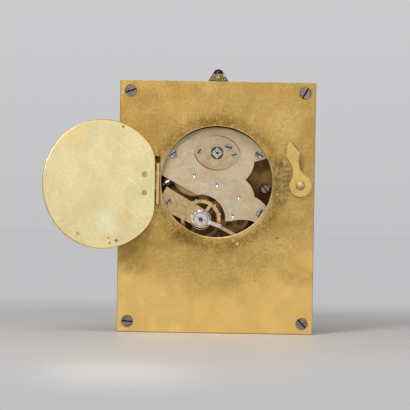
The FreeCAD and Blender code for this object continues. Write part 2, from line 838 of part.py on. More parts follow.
def build_case():
    frame = body("case_frame")
    drawn = sketch(frame, "frame_outside", "frame_front")
    rectangle(drawn, "-case_width / 2", "0", "case_width / 2", "case_height")
    pad(frame, drawn, "frame_depth")
    rounded(frame, "frame_round", lambda edge: upright(edge))
    drawn = sketch(frame, "frame_rebate", "frame_front")
    rectangle(
        drawn, "-panel_width / 2", "rebate_border", "panel_width / 2", "case_height - rebate_border"
    )
    pocket(frame, drawn, "panel_thick")
    drawn = sketch(frame, "frame_cavity", "frame_front")
    inner, block = "case_width / 2 - frame_wall", "case_width / 2 - corner_block"
    low, step = "frame_wall", "corner_block"
    high, drop = "case_height - frame_wall", "case_height - corner_block"
    outline(
        drawn,
        [
            (f"-({inner})", step),
            (f"-({block})", step),
            (f"-({block})", low),
            (block, low),
            (block, step),
            (inner, step),
            (inner, drop),
            (block, drop),
            (block, high),
            (f"-({block})", high),
            (f"-({block})", drop),
            (f"-({inner})", drop),
        ],
    )
    pocket(frame, drawn, "frame_depth")
    drawn = sketch(frame, "frame_screw_holes", "plate_in - screw_shank_length")
    for spot in SCREW_SPOTS:
        circle(drawn, "screw_shank_radius + screw_hole_gap", spot)
    pocket(frame, drawn, "screw_shank_length")
    drawn = sketch(frame, "frame_stem_hole", "case_height", "XY_Plane")
    circle(drawn, "stem_tube_radius", ("0", "stem_out"))
    pocket(frame, drawn, "frame_wall + edge_break")
    keep("case_frame", frame)

    panel = body("front_panel")
    drawn = sketch(panel, "panel_outside", "frame_front")
    half = "panel_width / 2 - panel_gap"
    rectangle(
        drawn, f"-({half})", "rebate_border + panel_gap", half, "case_height - rebate_border - panel_gap"
    )
    circle(drawn, "ring_bore", ("0", "movement_height"))
    pad(panel, drawn, "panel_thick")
    keep("front_panel", panel)

    plate = body("back_plate")
    drawn = sketch(plate, "plate_outside", "plate_in")
    half = "case_width / 2 - plate_inset"
    rectangle(drawn, f"-({half})", "plate_inset", half, "case_height - plate_inset")
    circle(drawn, "opening_radius", ("0", "opening_height"))
    pad(plate, drawn, "plate_thick")
    rounded(
        plate, "frame_round", lambda edge: upright(edge) and edge.Length > value("plate_thick") / 2
    )
    drawn = sketch(plate, "plate_screw_seats", "plate_out - screw_head_height")
    for spot in SCREW_SPOTS:
        circle(drawn, "screw_head_radius + screw_head_gap", spot)
    pocket(plate, drawn, "screw_head_height")
    drawn = sketch(plate, "plate_screw_holes", "plate_in")
    for spot in SCREW_SPOTS:
        circle(drawn, "screw_shank_radius + screw_hole_gap", spot)
    pocket(plate, drawn, "plate_thick")
    drawn = sketch(plate, "plate_hinge_slot", "plate_out - leaf_slot_depth")
    rectangle(
        drawn,
        "hinge_across - leaf_slot_width / 2",
        "knuckle_low - leaf_gap",
        "hinge_across + leaf_slot_width / 2",
        "knuckle_end + leaf_slot_spare",
    )
    pocket(plate, drawn, "leaf_slot_depth")
    drawn = sketch(plate, "plate_hinge_notch", "plate_in")
    rectangle(
        drawn,
        "hinge_across - leaf_slot_width / 2",
        "knuckle_end + leaf_gap",
        "hinge_across + leaf_slot_width / 2",
        "knuckle_end + leaf_slot_spare",
    )
    pocket(plate, drawn, "plate_thick")
    drawn = sketch(plate, "plate_latch_hole", "plate_in")
    circle(drawn, "latch_hole", ("-latch_across", "latch_height"))
    pocket(plate, drawn, "plate_thick")
    rim = value("opening_radius")
    bevel(
        plate,
        "opening_bevel",
        lambda edge: level(edge, "plate_out")
        and abs(edge.BoundBox.XLength - 2 * rim) < value("edge_break"),
    )
    bevel(
        plate,
        "edge_break",
        lambda edge: level(edge, "plate_out")
        and (
            abs(abs(edge.CenterOfMass.x) - value("case_width / 2")) < value("frame_round")
            or abs(edge.CenterOfMass.z - value("case_height / 2"))
            > value("case_height / 2 - frame_round")
        ),
    )
    keep("back_plate", plate)

    screws = [
        slotted_screw(
            f"plate_screw_{number}",
            "screw_head_radius",
            "screw_head_height",
            "screw_head_proud",
            "screw_shank_radius",
            "plate_thick - screw_head_height + screw_shank_length - edge_break",
            (spot[0], "plate_out - screw_head_height", spot[1]),
            PLATE_SLOT_TURNS[number],
        )
        for number, spot in enumerate(SCREW_SPOTS)
    ]
    keep("back_plate_screws", group("plate_screw_set", screws))


# Hinge, lid and latch

EYE_JOIN_SHARES = (0.8, 0.6)
LATCH_SHARES = [
    (0.108, 0.24), (0.072, 0.335), (0.073, 0.42), (0.085, 0.51), (0.108, 0.575), (0.147, 0.665)
]


def build_lid():
    hinge = ("hinge_across", "hinge_out")
    strip = box(
        "leaf_strip",
        (
            "leaf_slot_width - 2 * leaf_gap",
            "leaf_slot_depth - leaf_gap",
            "knuckle_end - knuckle_low",
        ),
        (
            "hinge_across - leaf_slot_width / 2 + leaf_gap",
            "plate_out - leaf_slot_depth",
            "knuckle_low",
        ),
    )
    solids = [strip]
    for name, low, length in (
        ("low", "knuckle_low", "lower_knuckle"),
        ("high", "knuckle_high", "upper_knuckle"),
    ):
        solids.append(cylinder(f"knuckle_{name}", "knuckle_radius", length, hinge + (low,), "Z"))
        solids.append(
            box(
                f"knuckle_{name}_web",
                ("leaf_web", "hinge_rise + leaf_gap", length),
                ("hinge_across - leaf_web / 2", "plate_out - leaf_gap", low),
            )
        )
    bore = cylinder(
        "leaf_bore", "hinge_pin_radius", "knuckle_end - knuckle_low", hinge + ("knuckle_low",), "Z"
    )
    keep("hinge_plate_leaf", cut("hinge_plate_leaf", fuse("leaf_blank", *solids), bore))
    pin = cylinder(
        "hinge_pin", "hinge_pin_radius", "knuckle_end - knuckle_low", hinge + ("knuckle_low",), "Z"
    )
    keep("hinge_pin", pin)

    swing = Rotation(Vector(0, 0, 1), -value("lid_open_angle"))

    def hang(item):
        put(item, hinge + ("0",), swing)
        item.setExpression("Placement.Rotation.Angle", bound("-lid_open_angle"))
        return item

    inner = "lid_gap - hinge_rise"
    lid = body("lid_disc")
    drawn = sketch(lid, "lid_outside", inner)
    circle(drawn, "lid_radius", ("-hinge_across", "lid_height"))
    pad(lid, drawn, "lid_thick")
    DOC.recompute()
    drawn = sketch(lid, "lid_flat", inner)
    rectangle(
        drawn, "-lid_flat_gap", "lid_height - lid_radius", "lid_radius", "lid_height + lid_radius"
    )
    pocket(lid, drawn, "lid_thick")
    rounded(
        lid,
        "lid_corner",
        lambda edge: upright(edge) and abs(edge.CenterOfMass.x + value("lid_flat_gap")) < 1e-4,
    )
    bevel(lid, "lid_bevel", lambda edge: level(edge, f"{inner} + lid_thick") or level(edge, inner))
    rivets = (
        "lid_height + lid_rivet_lift - lid_rivet_spacing / 2",
        "lid_height + lid_rivet_lift + lid_rivet_spacing / 2",
    )
    drawn = sketch(lid, "lid_rivet_holes", inner)
    for height in rivets:
        circle(drawn, "lid_rivet_radius", ("-lid_rivet_place", height))
    pocket(lid, drawn, "lid_thick")
    keep("lid_disc", hang(lid))

    outer = "lid_gap - hinge_rise + lid_thick"
    knuckle = cylinder(
        "middle_knuckle_solid", "knuckle_radius", "middle_knuckle", ("0", "0", "knuckle_mid"), "Z"
    )
    plate = box(
        "lid_leaf_plate",
        ("lid_leaf_reach", "lid_leaf_thick", "3 * lid_rivet_spacing / 2"),
        ("-lid_leaf_reach", outer, "lid_height + lid_rivet_lift - 3 * lid_rivet_spacing / 4"),
    )
    web = box(
        "lid_leaf_web",
        ("lid_flat_gap - edge_break / 2", f"{outer} + lid_leaf_thick", "middle_knuckle"),
        ("-lid_flat_gap + edge_break / 2", "0", "knuckle_mid"),
    )
    holes = [
        cylinder(
            f"lid_leaf_hole_{number}",
            "lid_rivet_radius",
            "lid_leaf_thick",
            ("-lid_rivet_place", outer, height),
        )
        for number, height in enumerate(rivets)
    ]
    clear = [
        box(
            f"lid_leaf_clear_{number}",
            ("lid_flat_gap + edge_break", "lid_radius", "lid_rivet_spacing"),
            ("-lid_flat_gap", "-lid_radius / 2", low),
        )
        for number, low in enumerate(
            ("knuckle_mid - lid_rivet_spacing", "knuckle_mid + middle_knuckle")
        )
    ]
    bore = cylinder(
        "lid_bore", "hinge_pin_radius + pin_gap", "middle_knuckle", ("0", "0", "knuckle_mid"), "Z"
    )
    leaf = cut("lid_leaf_shape", fuse("lid_leaf_blank", knuckle, plate, web), bore, *holes, *clear)
    keep("lid_leaf", hang(group("lid_leaf", [leaf])))
    shanks = [
        cylinder(
            f"lid_rivet_{number}",
            "lid_rivet_radius",
            "lid_thick + lid_leaf_thick + lid_rivet_proud",
            ("-lid_rivet_place", f"{inner} - lid_rivet_proud", height),
        )
        for number, height in enumerate(rivets)
    ]
    keep("lid_rivets", hang(group("lid_rivets", shanks)))


def build_latch():
    latch = body("latch")
    drawn = sketch(latch, "latch_outline")
    eye = "latch_eye"
    right = [(f"latch_length * {wide}", f"latch_length * {far}") for wide, far in LATCH_SHARES]
    left = [
        (f"-latch_length * {wide}", f"latch_length * {far}")
        for wide, far in reversed(LATCH_SHARES)
    ]
    join = tuple(f"{eye} * {share}" for share in EYE_JOIN_SHARES)
    points = [("0", f"-{eye}", *join)]
    points += [(*right[0], *right[1]), (*right[2], *right[3]), (*right[4], *right[5])]
    points += [("0", "latch_length"), left[0]]
    points += [(*left[1], *left[2]), (*left[3], *left[4])]
    points.append((*left[5], f"-{join[0]}", join[1]))
    outline(drawn, points)
    circle(drawn, "latch_hole + pin_gap")
    pad(latch, drawn, "latch_thick")
    put(
        latch,
        ("-latch_across", "latch_under", "latch_height"),
        Rotation(Vector(0, 1, 0), value("latch_lean_angle")),
    )
    latch.setExpression("Placement.Rotation.Angle", bound("latch_lean_angle"))
    keep("latch", latch)

    at = ("-latch_across", "plate_out", "latch_height")
    height = "latch_under - plate_out - latch_run_gap"
    keep("latch_collar", ring("latch_collar", "latch_collar_radius", "latch_hole", height, at))
    head_at = "latch_under + latch_thick + latch_run_gap"
    profile = [
        ("0", "plate_in"),
        ("latch_hole", "plate_in"),
        ("latch_hole", head_at),
        ("latch_rivet_head", head_at),
        ("0", f"{head_at} + latch_rivet_dome", "dome"),
    ]
    rivet = revolved("latch_rivet", profile, plane="XY_Plane")
    put(rivet, ("-latch_across", "0", "latch_height"))
    keep("latch_rivet", rivet)


# Crown, stem and winding pinion


def build_winding():
    skirt = [
        ("crown_hollow", "0"),
        ("crown_radius", "0"),
        ("crown_radius", "crown_skirt_rim"),
        (
            "(crown_radius + crown_shoulder) / 2 - edge_break / 3",
            "(crown_skirt_rim + crown_skirt_height) / 2 - edge_break / 4",
            "crown_shoulder",
            "crown_skirt_height",
        ),
        ("crown_collar_radius", "crown_collar_height"),
        ("cabochon_radius", "crown_collar_height"),
        ("cabochon_radius", "crown_collar_height - cabochon_seat"),
        ("stem_radius", "crown_collar_height - cabochon_seat"),
        ("stem_radius", "crown_hollow_depth"),
        ("crown_hollow", "crown_hollow_depth"),
    ]
    crown = revolved("crown_shell", skirt, plane="XZ_Plane")
    slope = math.degrees(
        math.atan2(
            value("crown_radius - crown_shoulder"), value("crown_skirt_height - crown_skirt_rim")
        )
    )
    flute = crown.newObject("PartDesign::SubtractiveCylinder", "crown_flute")
    flute.setExpression("Radius", bound("crown_flute_radius"))
    flute.setExpression("Height", bound("4 * crown_skirt_height"))
    flute.AttachmentSupport = (origin(crown, "XY_Plane"), [""])
    flute.MapMode = "FlatFace"
    flute.AttachmentOffset = Placement(Vector(), Rotation(Vector(0, 1, 0), -slope))
    run = "(crown_radius - crown_shoulder) / (crown_skirt_height - crown_skirt_rim)"
    foot = f"crown_radius + crown_flute_radius / 3 + (crown_skirt_height + crown_skirt_rim) * {run}"
    flute.setExpression("AttachmentOffset.Base.x", bound(foot))
    flute.setExpression("AttachmentOffset.Base.z", bound("-crown_skirt_height"))
    DOC.recompute()
    flutes = crown.newObject("PartDesign::PolarPattern", "crown_flute_ring")
    flutes.Originals = [flute]
    flutes.Axis = (origin(crown, "Z_Axis"), [""])
    flutes.Angle = 360
    flutes.Occurrences = int(value("crown_flutes"))
    crown.Tip = flutes
    put(crown, ("0", "stem_out", "crown_under"))
    keep("crown_shell", crown)
    dome = [
        ("0", "crown_collar_height - cabochon_seat"),
        ("cabochon_radius", "crown_collar_height - cabochon_seat"),
        ("cabochon_radius", "crown_collar_height"),
        ("0", "crown_collar_height + cabochon_height", "dome"),
    ]
    cabochon = revolved("crown_cabochon", dome, plane="XZ_Plane")
    put(cabochon, ("0", "stem_out", "crown_under"))
    keep("crown_cabochon", cabochon)

    axis = ("0", "stem_out")
    low = "case_height - frame_wall - stem_tube_below"
    tube = "frame_wall + stem_tube_below"
    inside = "stem_tube_radius - stem_tube_wall"
    keep("stem_tube", ring("stem_tube", "stem_tube_radius", inside, tube, axis + (low,), "Z"))
    bush_low = "case_height - frame_wall"
    bush = ring(
        "stem_bush",
        f"{inside} - stem_gap",
        "stem_radius + stem_gap",
        "stem_bush_length",
        axis + (bush_low,),
        "Z",
    )
    keep("stem_bush", bush)
    disc_low = "winding_end + winding_pin_length"
    stem = fuse(
        "winding_stem",
        cylinder(
            "stem_rod",
            "stem_radius",
            f"crown_under + crown_collar_height - cabochon_seat - ({disc_low} + winding_disc_thick)",
            axis + (f"{disc_low} + winding_disc_thick",),
            "Z",
        ),
        cylinder(
            "stem_low_shoulder",
            "stem_shoulder",
            "stem_shoulder_length",
            axis + (f"{bush_low} - stem_gap - stem_shoulder_length",),
            "Z",
        ),
        cylinder(
            "stem_high_shoulder",
            "stem_shoulder",
            "stem_shoulder_length",
            axis + (f"{bush_low} + stem_bush_length + stem_gap",),
            "Z",
        ),
    )
    keep("winding_stem", stem)
    pins = [cylinder("winding_disc", "winding_disc_radius", "winding_disc_thick", axis + (disc_low,), "Z")]
    for number in range(int(value("winding_pins"))):
        angle = 2 * math.pi * number / value("winding_pins")
        side, ahead = round(math.sin(angle), 9), round(math.cos(angle), 9)
        pins.append(
            cylinder(
                f"winding_pin_{number}",
                "winding_pin_radius",
                "winding_pin_length",
                (
                    f"winding_pin_circle * {side}",
                    f"stem_out + winding_pin_circle * {ahead}",
                    "winding_end",
                ),
                "Z",
            )
        )
    keep("winding_pinion", fuse("winding_pinion", *pins))


# Plates of the movement

HOLLOW_SHARES = [
    (-1.2, 0.62),
    (-0.815, 0.46),
    (-0.645, 0.413),
    (-0.612, 0.263, -0.495, 0.097),
    (-0.601, -0.021, -0.655, -0.192),
    (-0.784, -0.272, -0.86, -0.351),
    (-1.2, -0.62),
]
GAP_SHARES = [(1.2, 0.29), (0.367, -0.164), (0.2, -0.22), (0.2, -1.2), (1.2, -1.2)]
FOOT_SHARES = [
    (0.05, -1.2), (-0.15, -0.625), (-0.268, -0.622), (-0.43, -0.597, -0.68, -0.63), (-0.68, -1.2)
]


def shared(points):
    """Outline points given as shares of the top plate's radius, about the movement's centre."""
    texts = []
    for point in points:
        pair = []
        for place, share in enumerate(point):
            pair.append(f"top_plate_radius * {share}" + (" + movement_height" if place % 2 else ""))
        texts.append(tuple(pair))
    return texts


def spot(across, up, out):
    return (across, out, f"movement_height + {up}")


PLATE_SCREWS = [
    ("left_screw_across", "left_screw_up", 35.0),
    ("-right_screw_across", "right_screw_up", -30.0),
    ("-low_screw_across", "-low_screw_down", 60.0),
]
CUPS = [
    ("intermediate_across", "intermediate_up"),
    ("0", "0"),
    ("-third_across", "-third_down"),
    ("-fourth_across", "-fourth_down"),
]


def build_plates():
    low = [
        cylinder(
            "pillar_disc",
            "pillar_plate_radius",
            "pillar_plate_thick",
            ("0", "pillar_in", "movement_height"),
        )
    ]
    tools = [
        cylinder(
            f"pillar_pivot_{number}",
            "pivot_radius + pivot_gap",
            "pillar_plate_thick",
            spot(x, z, "pillar_in"),
        )
        for number, (x, z) in enumerate(
            CUPS[:1] + CUPS[2:] + [
                ("escape_across", "-escape_down"), ("pallet_across", "-pallet_down")
            ]
        )
    ]
    tools.append(
        cylinder("pillar_centre", "cannon_bore", "pillar_plate_thick", spot("0", "0", "pillar_in"))
    )
    tools.append(
        cylinder(
            "pillar_staff",
            "pivot_radius + pivot_gap",
            "pillar_plate_thick",
            spot("balance_across", "-balance_down", "pillar_in"),
        )
    )
    tools.append(
        cylinder(
            "pillar_barrel",
            "barrel_arbor_radius + pivot_gap",
            "pillar_plate_thick",
            spot("0", "barrel_up", "pillar_in"),
        )
    )
    for number, side in enumerate(("", "-")):
        tools.append(
            cylinder(
                f"pillar_foot_{number}",
                "dial_foot_radius + pivot_gap",
                "pillar_plate_thick",
                spot(f"{side}dial_foot_across", "0", "pillar_in"),
            )
        )
        tools.append(
            cylinder(
                f"pillar_dog_{number}",
                "small_screw_shank",
                "pillar_plate_thick",
                spot(f"{side}dog_screw_across", f"{side}dog_screw_up", "pillar_in"),
            )
        )
    keep("pillar_plate", cut("pillar_plate", low[0], *tools))
    pillars = [
        cylinder(f"pillar_{number}", "pillar_radius", "train_gap", spot(x, z, "pillar_out"))
        for number, (x, z, turn) in enumerate(PLATE_SCREWS)
    ]
    holes = [
        cylinder(
            f"pillar_hole_{number}",
            "plate_screw_shank",
            "plate_screw_length - top_plate_thick + edge_break",
            spot(x, z, "top_in - plate_screw_length + top_plate_thick - edge_break"),
        )
        for number, (x, z, turn) in enumerate(PLATE_SCREWS)
    ]
    keep("pillars", cut("pillars", group("pillar_set", pillars), *holes))

    top = body("three_quarter_plate")
    drawn = sketch(top, "top_outside", "top_in")
    circle(drawn, "top_plate_radius", ("0", "movement_height"))
    pad(top, drawn, "top_plate_thick")
    DOC.recompute()
    for name, shares in (("hollow", HOLLOW_SHARES), ("gap", GAP_SHARES), ("foot", FOOT_SHARES)):
        drawn = sketch(top, f"top_{name}", "top_in")
        outline(drawn, shared(shares))
        pocket(top, drawn, "top_plate_thick")
    drawn = sketch(top, "top_balance", "top_in")
    circle(drawn, "balance_bite", ("balance_across", "movement_height - balance_down"))
    pocket(top, drawn, "top_plate_thick")
    drawn = sketch(top, "top_screw_holes", "top_in")
    for x, z, turn in PLATE_SCREWS:
        circle(drawn, "plate_screw_shank", (x, f"movement_height + {z}"))
    circle(drawn, "barrel_arbor_radius + pivot_gap", ("0", "barrel_height_up"))
    for x, z in CUPS:
        circle(drawn, "pivot_radius + pivot_gap", (x, f"movement_height + {z}"))
    for x, z in (
        ("cap_screw_across", "barrel_up + cap_screw_up"),
        ("-cap_pin_across", "barrel_up - cap_pin_down"),
    ):
        circle(drawn, "small_screw_shank", (x, f"movement_height + {z}"))
    circle(drawn, "click_hole", ("-click_across", "barrel_height_up + click_up"))
    pocket(top, drawn, "top_plate_thick")
    drawn = sketch(top, "top_cups", "top_out - cup_depth")
    for x, z in CUPS:
        circle(drawn, "cup_radius", (x, f"movement_height + {z}"))
    pocket(top, drawn, "cup_depth")
    drawn = sketch(top, "top_ratchet_recess", "top_in + ratchet_floor")
    circle(drawn, "ratchet_tip + ratchet_recess_gap", ("0", "barrel_height_up"))
    pocket(top, drawn, "top_plate_thick - ratchet_floor")
    drawn = sketch(top, "top_click_recess", "top_in + ratchet_floor")
    rectangle(
        drawn,
        "-click_across - click_boss - click_gap",
        "barrel_height_up + click_up - click_length - click_gap",
        "-ratchet_radius / 2",
        "barrel_height_up + click_up + click_boss + click_gap",
    )
    pocket(top, drawn, "top_plate_thick - ratchet_floor")
    drawn = sketch(top, "top_pinion_slot", "top_in")
    wide = "winding_disc_radius + winding_slot_gap"
    rectangle(
        drawn,
        f"-({wide})",
        "barrel_height_up + ratchet_radius / 2",
        wide,
        "winding_end + winding_pin_length + winding_disc_thick + stem_pull + winding_slot_gap",
    )
    pocket(top, drawn, f"stem_out + {wide} - top_in")
    drawn = sketch(top, "top_stem_channel", "top_in")
    narrow = "stem_radius + winding_slot_gap"
    rectangle(
        drawn,
        f"-({narrow})",
        "barrel_height_up + ratchet_radius",
        narrow,
        "movement_height + top_plate_radius",
    )
    pocket(top, drawn, f"stem_out + {narrow} - top_in")
    keep("three_quarter_plate", top)

    screws = [
        slotted_screw(
            f"top_screw_{number}",
            "plate_screw_head",
            "plate_screw_rise",
            "0",
            "plate_screw_shank",
            "plate_screw_length",
            spot(x, z, "top_out"),
            turn,
            ("small_slot_width", "small_slot_depth"),
        )
        for number, (x, z, turn) in enumerate(PLATE_SCREWS)
    ]
    keep("plate_screws", group("top_screw_set", screws))
    cups = []
    for number, (x, z) in enumerate(CUPS):
        sink = DOC.addObject("Part::Sphere", f"cup_sink_{number}")
        sink.setExpression("Radius", bound("cup_sink_radius"))
        put(sink, spot(x, z, "top_out + cup_rise + cup_sink_radius - cup_sink"))
        cups.append(
            cut(
                f"pivot_cup_{number}",
                cylinder(
                    f"cup_blank_{number}",
                    "cup_radius",
                    "cup_depth + cup_rise",
                    spot(x, z, "top_out - cup_depth"),
                ),
                sink,
                cylinder(
                    f"cup_hole_{number}",
                    "pivot_radius + pivot_gap",
                    "cup_depth + cup_rise",
                    spot(x, z, "top_out - cup_depth"),
                ),
            )
        )
    keep("pivot_cups", group("pivot_cup_set", cups))
    dogs = [
        slotted_screw(
            f"dog_screw_{number}",
            "dog_screw_head",
            "dog_screw_rise",
            "0",
            "small_screw_shank",
            "pillar_plate_thick",
            spot(f"{side}dog_screw_across", f"{side}dog_screw_up", "pillar_out"),
            turn,
            ("small_slot_width", "small_slot_depth"),
        )
        for number, (side, turn) in enumerate((("", 20.0), ("-", -50.0)))
    ]
    feet_clear = [
        cylinder(
            f"dog_clear_{number}",
            "dial_foot_radius + pin_gap",
            "dog_screw_rise",
            spot(f"{side}dial_foot_across", "0", "pillar_out"),
        )
        for number, side in enumerate(("", "-"))
    ]
    keep("dial_dog_screws", cut("dial_dog_screws", group("dog_set", dogs), *feet_clear))


def build_barrel_cap():
    cap = body("barrel_cap_blank")
    drawn = sketch(cap, "cap_outline")
    half, wide, tip = "cap_length / 2", "cap_width / 2", "cap_tip"
    outline(
        drawn,
        [
            ("0", wide, f"-({half})", tip),
            (f"-({half}) - cap_tip / 3", "0", f"-({half})", f"-{tip}"),
            ("0", f"-({wide})", half, f"-{tip}"),
            (f"{half} + cap_tip / 3", "0", half, tip),
        ],
    )
    circle(drawn, "cap_hole")
    pad(cap, drawn, "cap_thick")
    DOC.recompute()
    put(
        cap,
        ("0", "top_out", "barrel_height_up"),
        Rotation(Vector(0, 1, 0), -value("cap_tilt_angle")),
    )
    cap.setExpression("Placement.Rotation.Angle", bound("-cap_tilt_angle"))
    spots = [
        ("cap_screw_across", "barrel_up + cap_screw_up", 60.0, "small_screw_shank"),
        ("-cap_pin_across", "barrel_up - cap_pin_down", 15.0, "small_screw_shank"),
        ("-click_across", "barrel_up + click_up", -15.0, "click_hole"),
    ]
    holes = [
        cylinder(f"cap_hole_{number}", shank, "cap_thick", spot(x, z, "top_out"))
        for number, (x, z, turn, shank) in enumerate(spots)
    ]
    keep("barrel_cap", cut("barrel_cap_holed", cap, *holes))
    screws = [
        slotted_screw(
            f"cap_screw_{number}",
            "small_screw_head",
            "small_screw_rise",
            "0",
            shank,
            "cap_thick + small_screw_length",
            spot(x, z, "cap_out"),
            turn,
            ("small_slot_width", "small_slot_depth"),
        )
        for number, (x, z, turn, shank) in enumerate(spots[:2])
    ]
    keep("barrel_cap_screws", group("cap_screw_set", screws))
    x, z, turn, shank = spots[2]
    screw = slotted_screw(
        "click_screw",
        "click_screw_head",
        "small_screw_rise",
        "0",
        "click_hole",
        "cap_thick + top_plate_thick",
        spot(x, z, "cap_out"),
        turn,
        ("small_slot_width", "small_slot_depth"),
    )
    keep("click_screw", screw)
    at = spot(x, z, "ratchet_in")
    blank = fuse(
        "click_blank",
        cylinder("click_boss_solid", "click_boss", "ratchet_thick", at),
        bar(
            "click_arm",
            ("click_width", "ratchet_thick", "click_length"),
            ("-click_width / 2", "0", "0"),
            at,
            "click_angle",
        ),
    )
    keep(
        "click",
        cut("click", blank, cylinder("click_bore", "click_hole + pin_gap", "ratchet_thick", at)),
    )


# Barrel, wheels and escapement


def spiral(start, pitch, thick, halves, height, turn):
    """A flat spiral strip of half circles, each half a pitch wider than the one before."""
    outer, inner = [], []
    for half in range(halves):
        centre = Vector(pitch / 2 if half % 2 else 0, 0, 0)
        radius = start + half * pitch / 2
        side = -1 if half % 2 else 1
        for edges, far in ((inner, radius), (outer, radius + thick)):
            first = centre + Vector(side * far, 0, 0)
            middle = centre + Vector(0, 0, side * far)
            last = centre - Vector(side * far, 0, 0)
            edges.append(Part.Arc(first, middle, last).toShape())
    ends = [
        Part.makeLine(inner[0].Vertexes[0].Point, outer[0].Vertexes[0].Point),
        Part.makeLine(inner[-1].Vertexes[-1].Point, outer[-1].Vertexes[-1].Point),
    ]
    wire = Part.Wire(Part.__sortEdges__(inner + outer + ends))
    solid = Part.Face(wire).extrude(Vector(0, height, 0))
    solid.rotate(Vector(0, 0, 0), Vector(0, 1, 0), turn)
    return solid


ESCAPE_TOOTH_SHARES = (0.0, 0.42, 0.56, 0.3)
STONE_REACH_SHARE = 0.8


def build_train():
    thick, leaf = value("wheel_thick"), value("leaf_length")
    base = value("pillar_out")
    shake, pivot, arbor = value("end_shake"), value("pivot_radius"), value("arbor_radius")
    foot, head = base + shake, value("top_in") - shake
    low_end, high_end = value("pillar_in"), value("top_out - cup_sink")

    count, leaves, module, lead, leaf_lead = mesh(
        "barrel", "intermediate", "barrel_teeth", "intermediate_leaves"
    )
    lift, height = value("tooth_level"), value("barrel_height")
    drum = rod(value("barrel_radius"), lift, lift + height)
    teeth = moved(wheel_shape(count, module, lead, value("barrel_floor")), 0, lift, 0)
    hollow = rod(value("barrel_radius - barrel_wall"), lift + value("barrel_floor"), lift + height)
    bore = rod(value("barrel_arbor_radius + pivot_gap"), lift, lift + height)
    keep("barrel", made("barrel", at_arbor(stack([teeth, drum]).cut([hollow, bore]), "barrel")))
    top = lift + height
    lid = rod(value("barrel_radius - barrel_wall"), top - value("barrel_lid_thick"), top).cut(bore)
    keep("barrel_lid", made("barrel_lid", at_arbor(lid, "barrel")))
    inside = value("barrel_radius - barrel_wall - mainspring_start - mainspring_gap")
    halves = int(2 * inside / value("mainspring_pitch")) - 1
    coil_low = lift + value("barrel_floor") + shake
    coil_height = height - value("barrel_floor + barrel_lid_thick") - 2 * shake
    coil = spiral(
        value("mainspring_start"),
        value("mainspring_pitch"),
        value("mainspring_thick"),
        halves,
        coil_height,
        0,
    )
    keep("mainspring", made("mainspring", at_arbor(moved(coil, 0, coil_low, 0), "barrel")))
    square = value("barrel_arbor_square")
    square_low, square_high = value("ratchet_in + ratchet_thick"), value("cap_out + barrel_arbor_proud")
    square_end = Part.makeBox(
        square, square_high - square_low, square, Vector(-square / 2, square_low, -square / 2)
    )
    square_end.rotate(Vector(0, 0, 0), Vector(0, 1, 0), value("arbor_square_angle"))
    arbor_solid = stack(
        [
            rod(value("barrel_arbor_radius"), low_end, value("ratchet_in")),
            rod(value("barrel_arbor_seat"), value("ratchet_in"), square_low),
            square_end,
        ]
    )
    dimple = rod(value("arbor_dimple_radius"), square_high - value("arbor_dimple_depth"), square_high)
    keep("barrel_arbor", made("barrel_arbor", at_arbor(arbor_solid.cut(dimple), "barrel")))

    ratchet_count = int(value("ratchet_teeth"))
    ratchet_module = 2 * value("ratchet_radius") / ratchet_count
    ratchet = wheel_shape(
        ratchet_count, ratchet_module, math.pi / 2 + math.pi / ratchet_count, value("ratchet_thick")
    )
    ratchet = ratchet.cut(rod(value("barrel_arbor_seat"), 0, value("ratchet_thick")))
    keep(
        "ratchet_wheel",
        made("ratchet_wheel", at_arbor(moved(ratchet, 0, value("ratchet_in"), 0), "barrel")),
    )

    def leaf_at(leaf_count, leaf_module, leaf_turn, middle, length=leaf):
        return moved(
            leaf_shape(leaf_count, leaf_module, leaf_turn, length), 0, middle - length / 2, 0
        )

    def wheel_at(wheel_count, wheel_module, wheel_turn, low):
        flat = wheel_shape(wheel_count, wheel_module, wheel_turn, thick)
        return moved(pierced(flat, wheel_count * wheel_module / 2, thick, 5), 0, low, 0)

    def arbor_of(low=low_end, high=high_end, body_low=foot, body_high=head):
        return [rod(arbor, body_low, body_high), rod(pivot, low, high)]

    levels = {
        name: base + value(f"{name}_level")
        for name in ("fourth", "third", "escape", "centre", "intermediate")
    }
    barrel_middle = lift + value("barrel_floor / 2")
    chain = [
        ("intermediate", "centre", "intermediate_teeth", "centre_leaves"),
        ("centre", "third", "centre_teeth", "third_leaves"),
        ("third", "fourth", "third_teeth", "fourth_leaves"),
        ("fourth", "escape", "fourth_teeth", "escape_leaves"),
    ]
    pinion = leaf_at(leaves, module, leaf_lead, barrel_middle)
    for first, second, teeth_name, leaves_name in chain:
        count, leaves, module, lead, leaf_lead = mesh(first, second, teeth_name, leaves_name)
        low = levels[first]
        pieces = [wheel_at(count, module, lead, low), pinion]
        if first == "centre":
            post = rod(
                value("centre_post_radius"), value("cannon_front + hand_thick + end_shake"), low
            )
            pieces += [rod(arbor, foot, head), rod(pivot, head, high_end), post]
        else:
            pieces += arbor_of()
        keep(f"{first}_wheel", made(f"{first}_wheel", at_arbor(stack(pieces), first)))
        pinion = leaf_at(leaves, module, leaf_lead, low + thick / 2)
    escape = []
    count = int(value("escape_teeth"))
    far, near = value("escape_radius"), value("escape_root")
    step = 2 * math.pi / count
    for tooth in range(count):
        angle = tooth * step
        for radius, share in zip((near, far, far, near), ESCAPE_TOOTH_SHARES):
            spin = angle + share * step
            escape.append(Vector(radius * math.cos(spin), 0, radius * math.sin(spin)))
    flat = Part.Face(Part.makePolygon(escape + escape[:1])).extrude(Vector(0, thick, 0))
    flat = pierced(flat, near, thick, 5)
    high = levels["escape"] + thick + value("pallet_cock_gap + pallet_cock_thick")
    pieces = [moved(flat, 0, levels["escape"], 0), pinion] + arbor_of(
        low_end, high, foot, levels["escape"] + thick + shake
    )
    keep("escape_wheel", made("escape_wheel", at_arbor(stack(pieces), "escape")))


